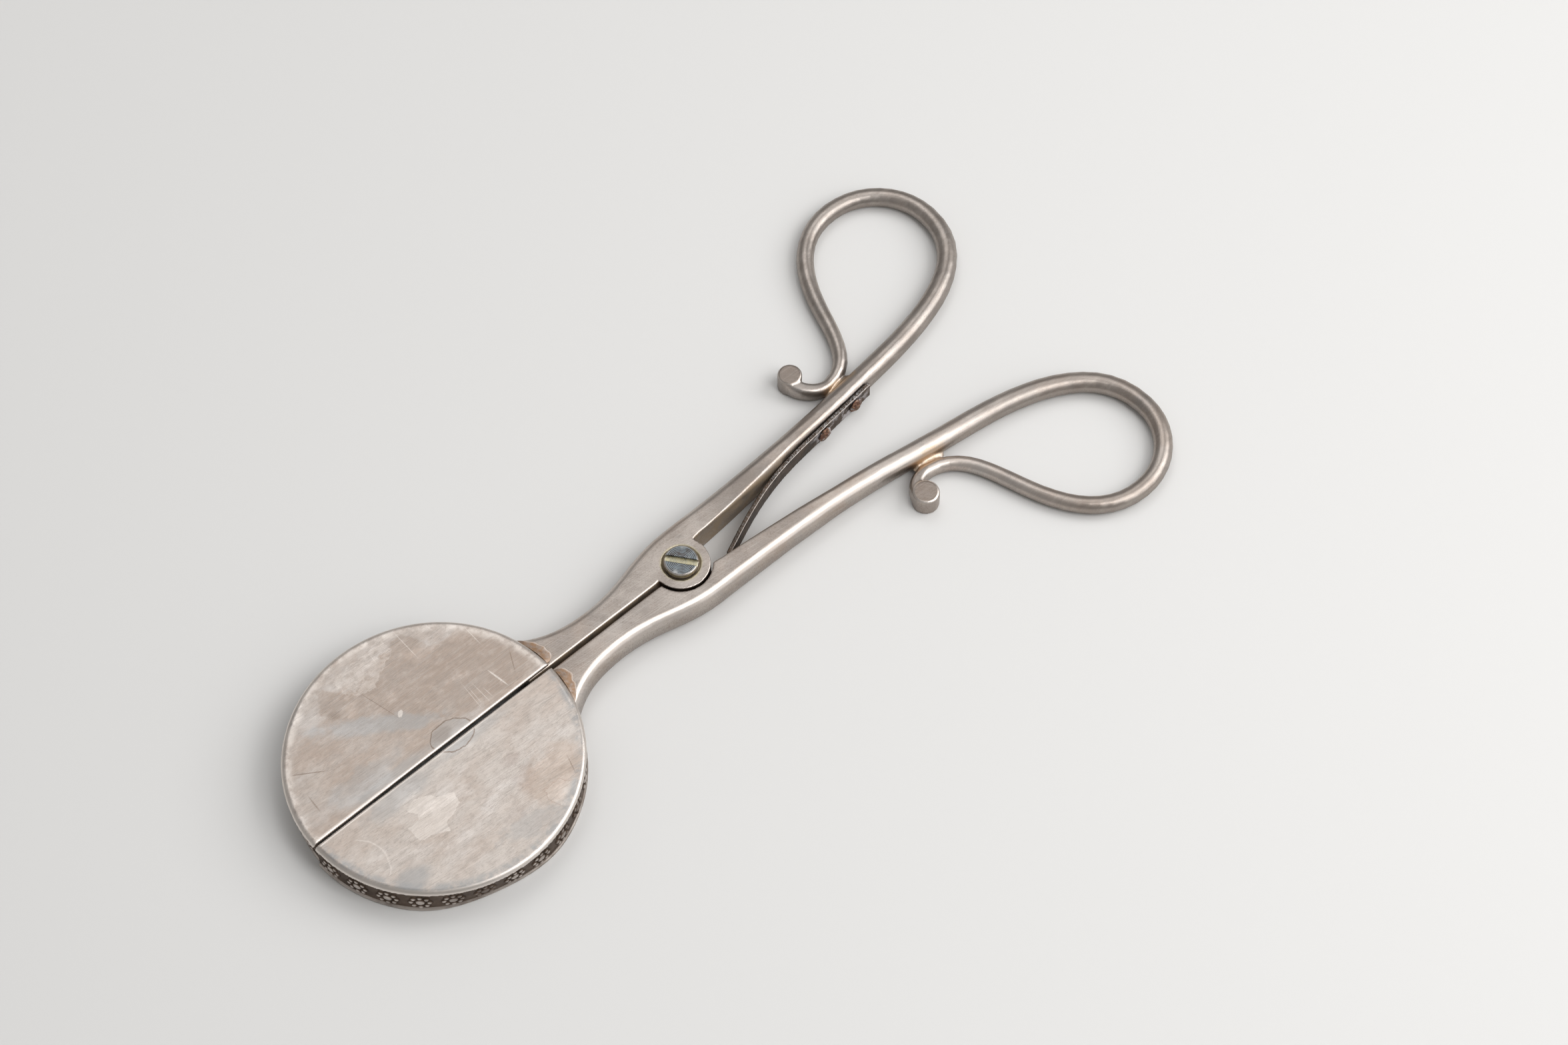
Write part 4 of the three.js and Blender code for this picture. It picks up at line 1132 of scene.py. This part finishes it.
class SNUFFER_OT_solder(bpy.types.Operator):
    """Make the crescents of solder where the necks meet the covers"""

    bl_idname = "snuffer.solder"
    bl_label = "Neck Solder"

    def execute(self, context):
        sizes = context.scene.snuffer_sizes
        material = tan_solder(context.scene.snuffer_finish)
        for side, sign in SIDES.items():
            deselect()
            bpy.ops.mesh.primitive_grid_add(x_subdivisions=48, y_subdivisions=14, size=1)
            piece = context.object
            piece.name = side + "_neck_solder"
            shape_crescent(piece, sign, sizes)
            apply_modifier(piece, "SOLIDIFY", thickness=0.15 * MM, offset=-sign)
            edit_all(piece, bpy.ops.mesh.normals_make_consistent, inside=False)
            smooth(piece)
            finish(piece, material, side + "_half", "silver")
        return {"FINISHED"}


# Stage

def aim_at(thing, target):
    """Turn a lamp or camera to look at a point."""
    turn = (Vector(target) - thing.location).to_track_quat("-Z", "Y").to_matrix().to_4x4()
    thing.matrix_world = Matrix.Translation(thing.location) @ turn


def add_lamp(name, place, size, power):
    """Add a soft rectangular lamp that looks at the pivot."""
    deselect()
    bpy.ops.object.light_add(type="AREA", location=place)
    lamp = bpy.context.object
    lamp.name = name
    lamp.data.shape = "RECTANGLE"
    lamp.data.size, lamp.data.size_y = size
    lamp.data.energy = power
    aim_at(lamp, (0, 0, 0))


class SNUFFER_OT_stage(bpy.types.Operator):
    """Set up the pale floor, the soft lamps, the room light and the camera"""

    bl_idname = "snuffer.stage"
    bl_label = "Stage"

    def execute(self, context):
        stage = context.scene.snuffer_stage
        context.scene.view_settings.view_transform = "Standard"
        deselect()
        bpy.ops.mesh.primitive_plane_add(size=FLOOR_SIZE, location=(0, 0, -FLOOR_DROP))
        floor = context.object
        floor.name = "floor"
        floor.data.materials.append(pale_floor(stage.floor))
        world = bpy.data.worlds.new("room")
        context.scene.world = world
        world.use_nodes = True
        room = world.node_tree.nodes["Background"]
        room.inputs["Color"].default_value = ROOM_TINT
        room.inputs["Strength"].default_value = stage.world_light
        add_lamp("key_lamp", place=(0.54, -0.31, 0.50), size=(0.50, 0.55), power=stage.key_power)
        add_lamp("front_lamp", place=(0.11, -0.40, 0.64), size=(0.25, 0.55), power=stage.front_power)
        add_lamp("top_lamp", place=(0.20, 0.32, 0.75), size=(0.50, 0.50), power=stage.top_power)
        add_lamp("low_lamp", place=(0.55, -1.30, 0.58), size=(1.0, 0.6), power=stage.low_power)
        bpy.ops.object.camera_add()
        camera = context.object
        turn, rise = stage.camera_turn, stage.camera_rise
        level = Vector((math.sin(turn), -math.cos(turn), 0)) * math.cos(rise)
        backward = level + Vector((0, 0, math.sin(rise)))
        camera.location = Vector(stage.camera_aim) + backward * stage.camera_distance
        aim_at(camera, stage.camera_aim)
        camera.data.sensor_width = 36
        camera.data.lens = stage.lens
        camera.data.clip_start = 0.01
        context.scene.camera = camera
        return {"FINISHED"}


class SNUFFER_PT_panel(bpy.types.Panel):
    """Lists the snuffer's pieces and settings in the sidebar"""

    bl_label = "Snuffer"
    bl_idname = "SNUFFER_PT_panel"
    bl_space_type = "VIEW_3D"
    bl_region_type = "UI"
    bl_category = "Snuffer"

    def draw(self, context):
        for operator in PIECES:
            self.layout.operator(operator.bl_idname)
        for settings in ("snuffer_sizes", "snuffer_finish", "snuffer_stage"):
            group = getattr(context.scene, settings)
            box = self.layout.box()
            for name in group.__annotations__:
                box.prop(group, name)


PIECES = (
    SNUFFER_OT_arms, SNUFFER_OT_covers, SNUFFER_OT_walls, SNUFFER_OT_screw, SNUFFER_OT_spring,
    SNUFFER_OT_solder, SNUFFER_OT_stage,
)
CLASSES = (SnufferSizes, SnufferFinish, SnufferStage, *PIECES, SNUFFER_PT_panel)


def register():
    for item in CLASSES:
        bpy.utils.register_class(item)
    bpy.types.Scene.snuffer_sizes = PointerProperty(type=SnufferSizes)
    bpy.types.Scene.snuffer_finish = PointerProperty(type=SnufferFinish)
    bpy.types.Scene.snuffer_stage = PointerProperty(type=SnufferStage)


def unregister():
    del bpy.types.Scene.snuffer_stage
    del bpy.types.Scene.snuffer_finish
    del bpy.types.Scene.snuffer_sizes
    for item in reversed(CLASSES):
        bpy.utils.unregister_class(item)


def main():
    """Make all pieces and the stage."""
    register()
    bpy.ops.snuffer.arms()
    bpy.ops.snuffer.covers()
    bpy.ops.snuffer.walls()
    bpy.ops.snuffer.screw()
    bpy.ops.snuffer.spring()
    bpy.ops.snuffer.solder()
    bpy.ops.snuffer.stage()


if __name__ == "__main__":
    main()
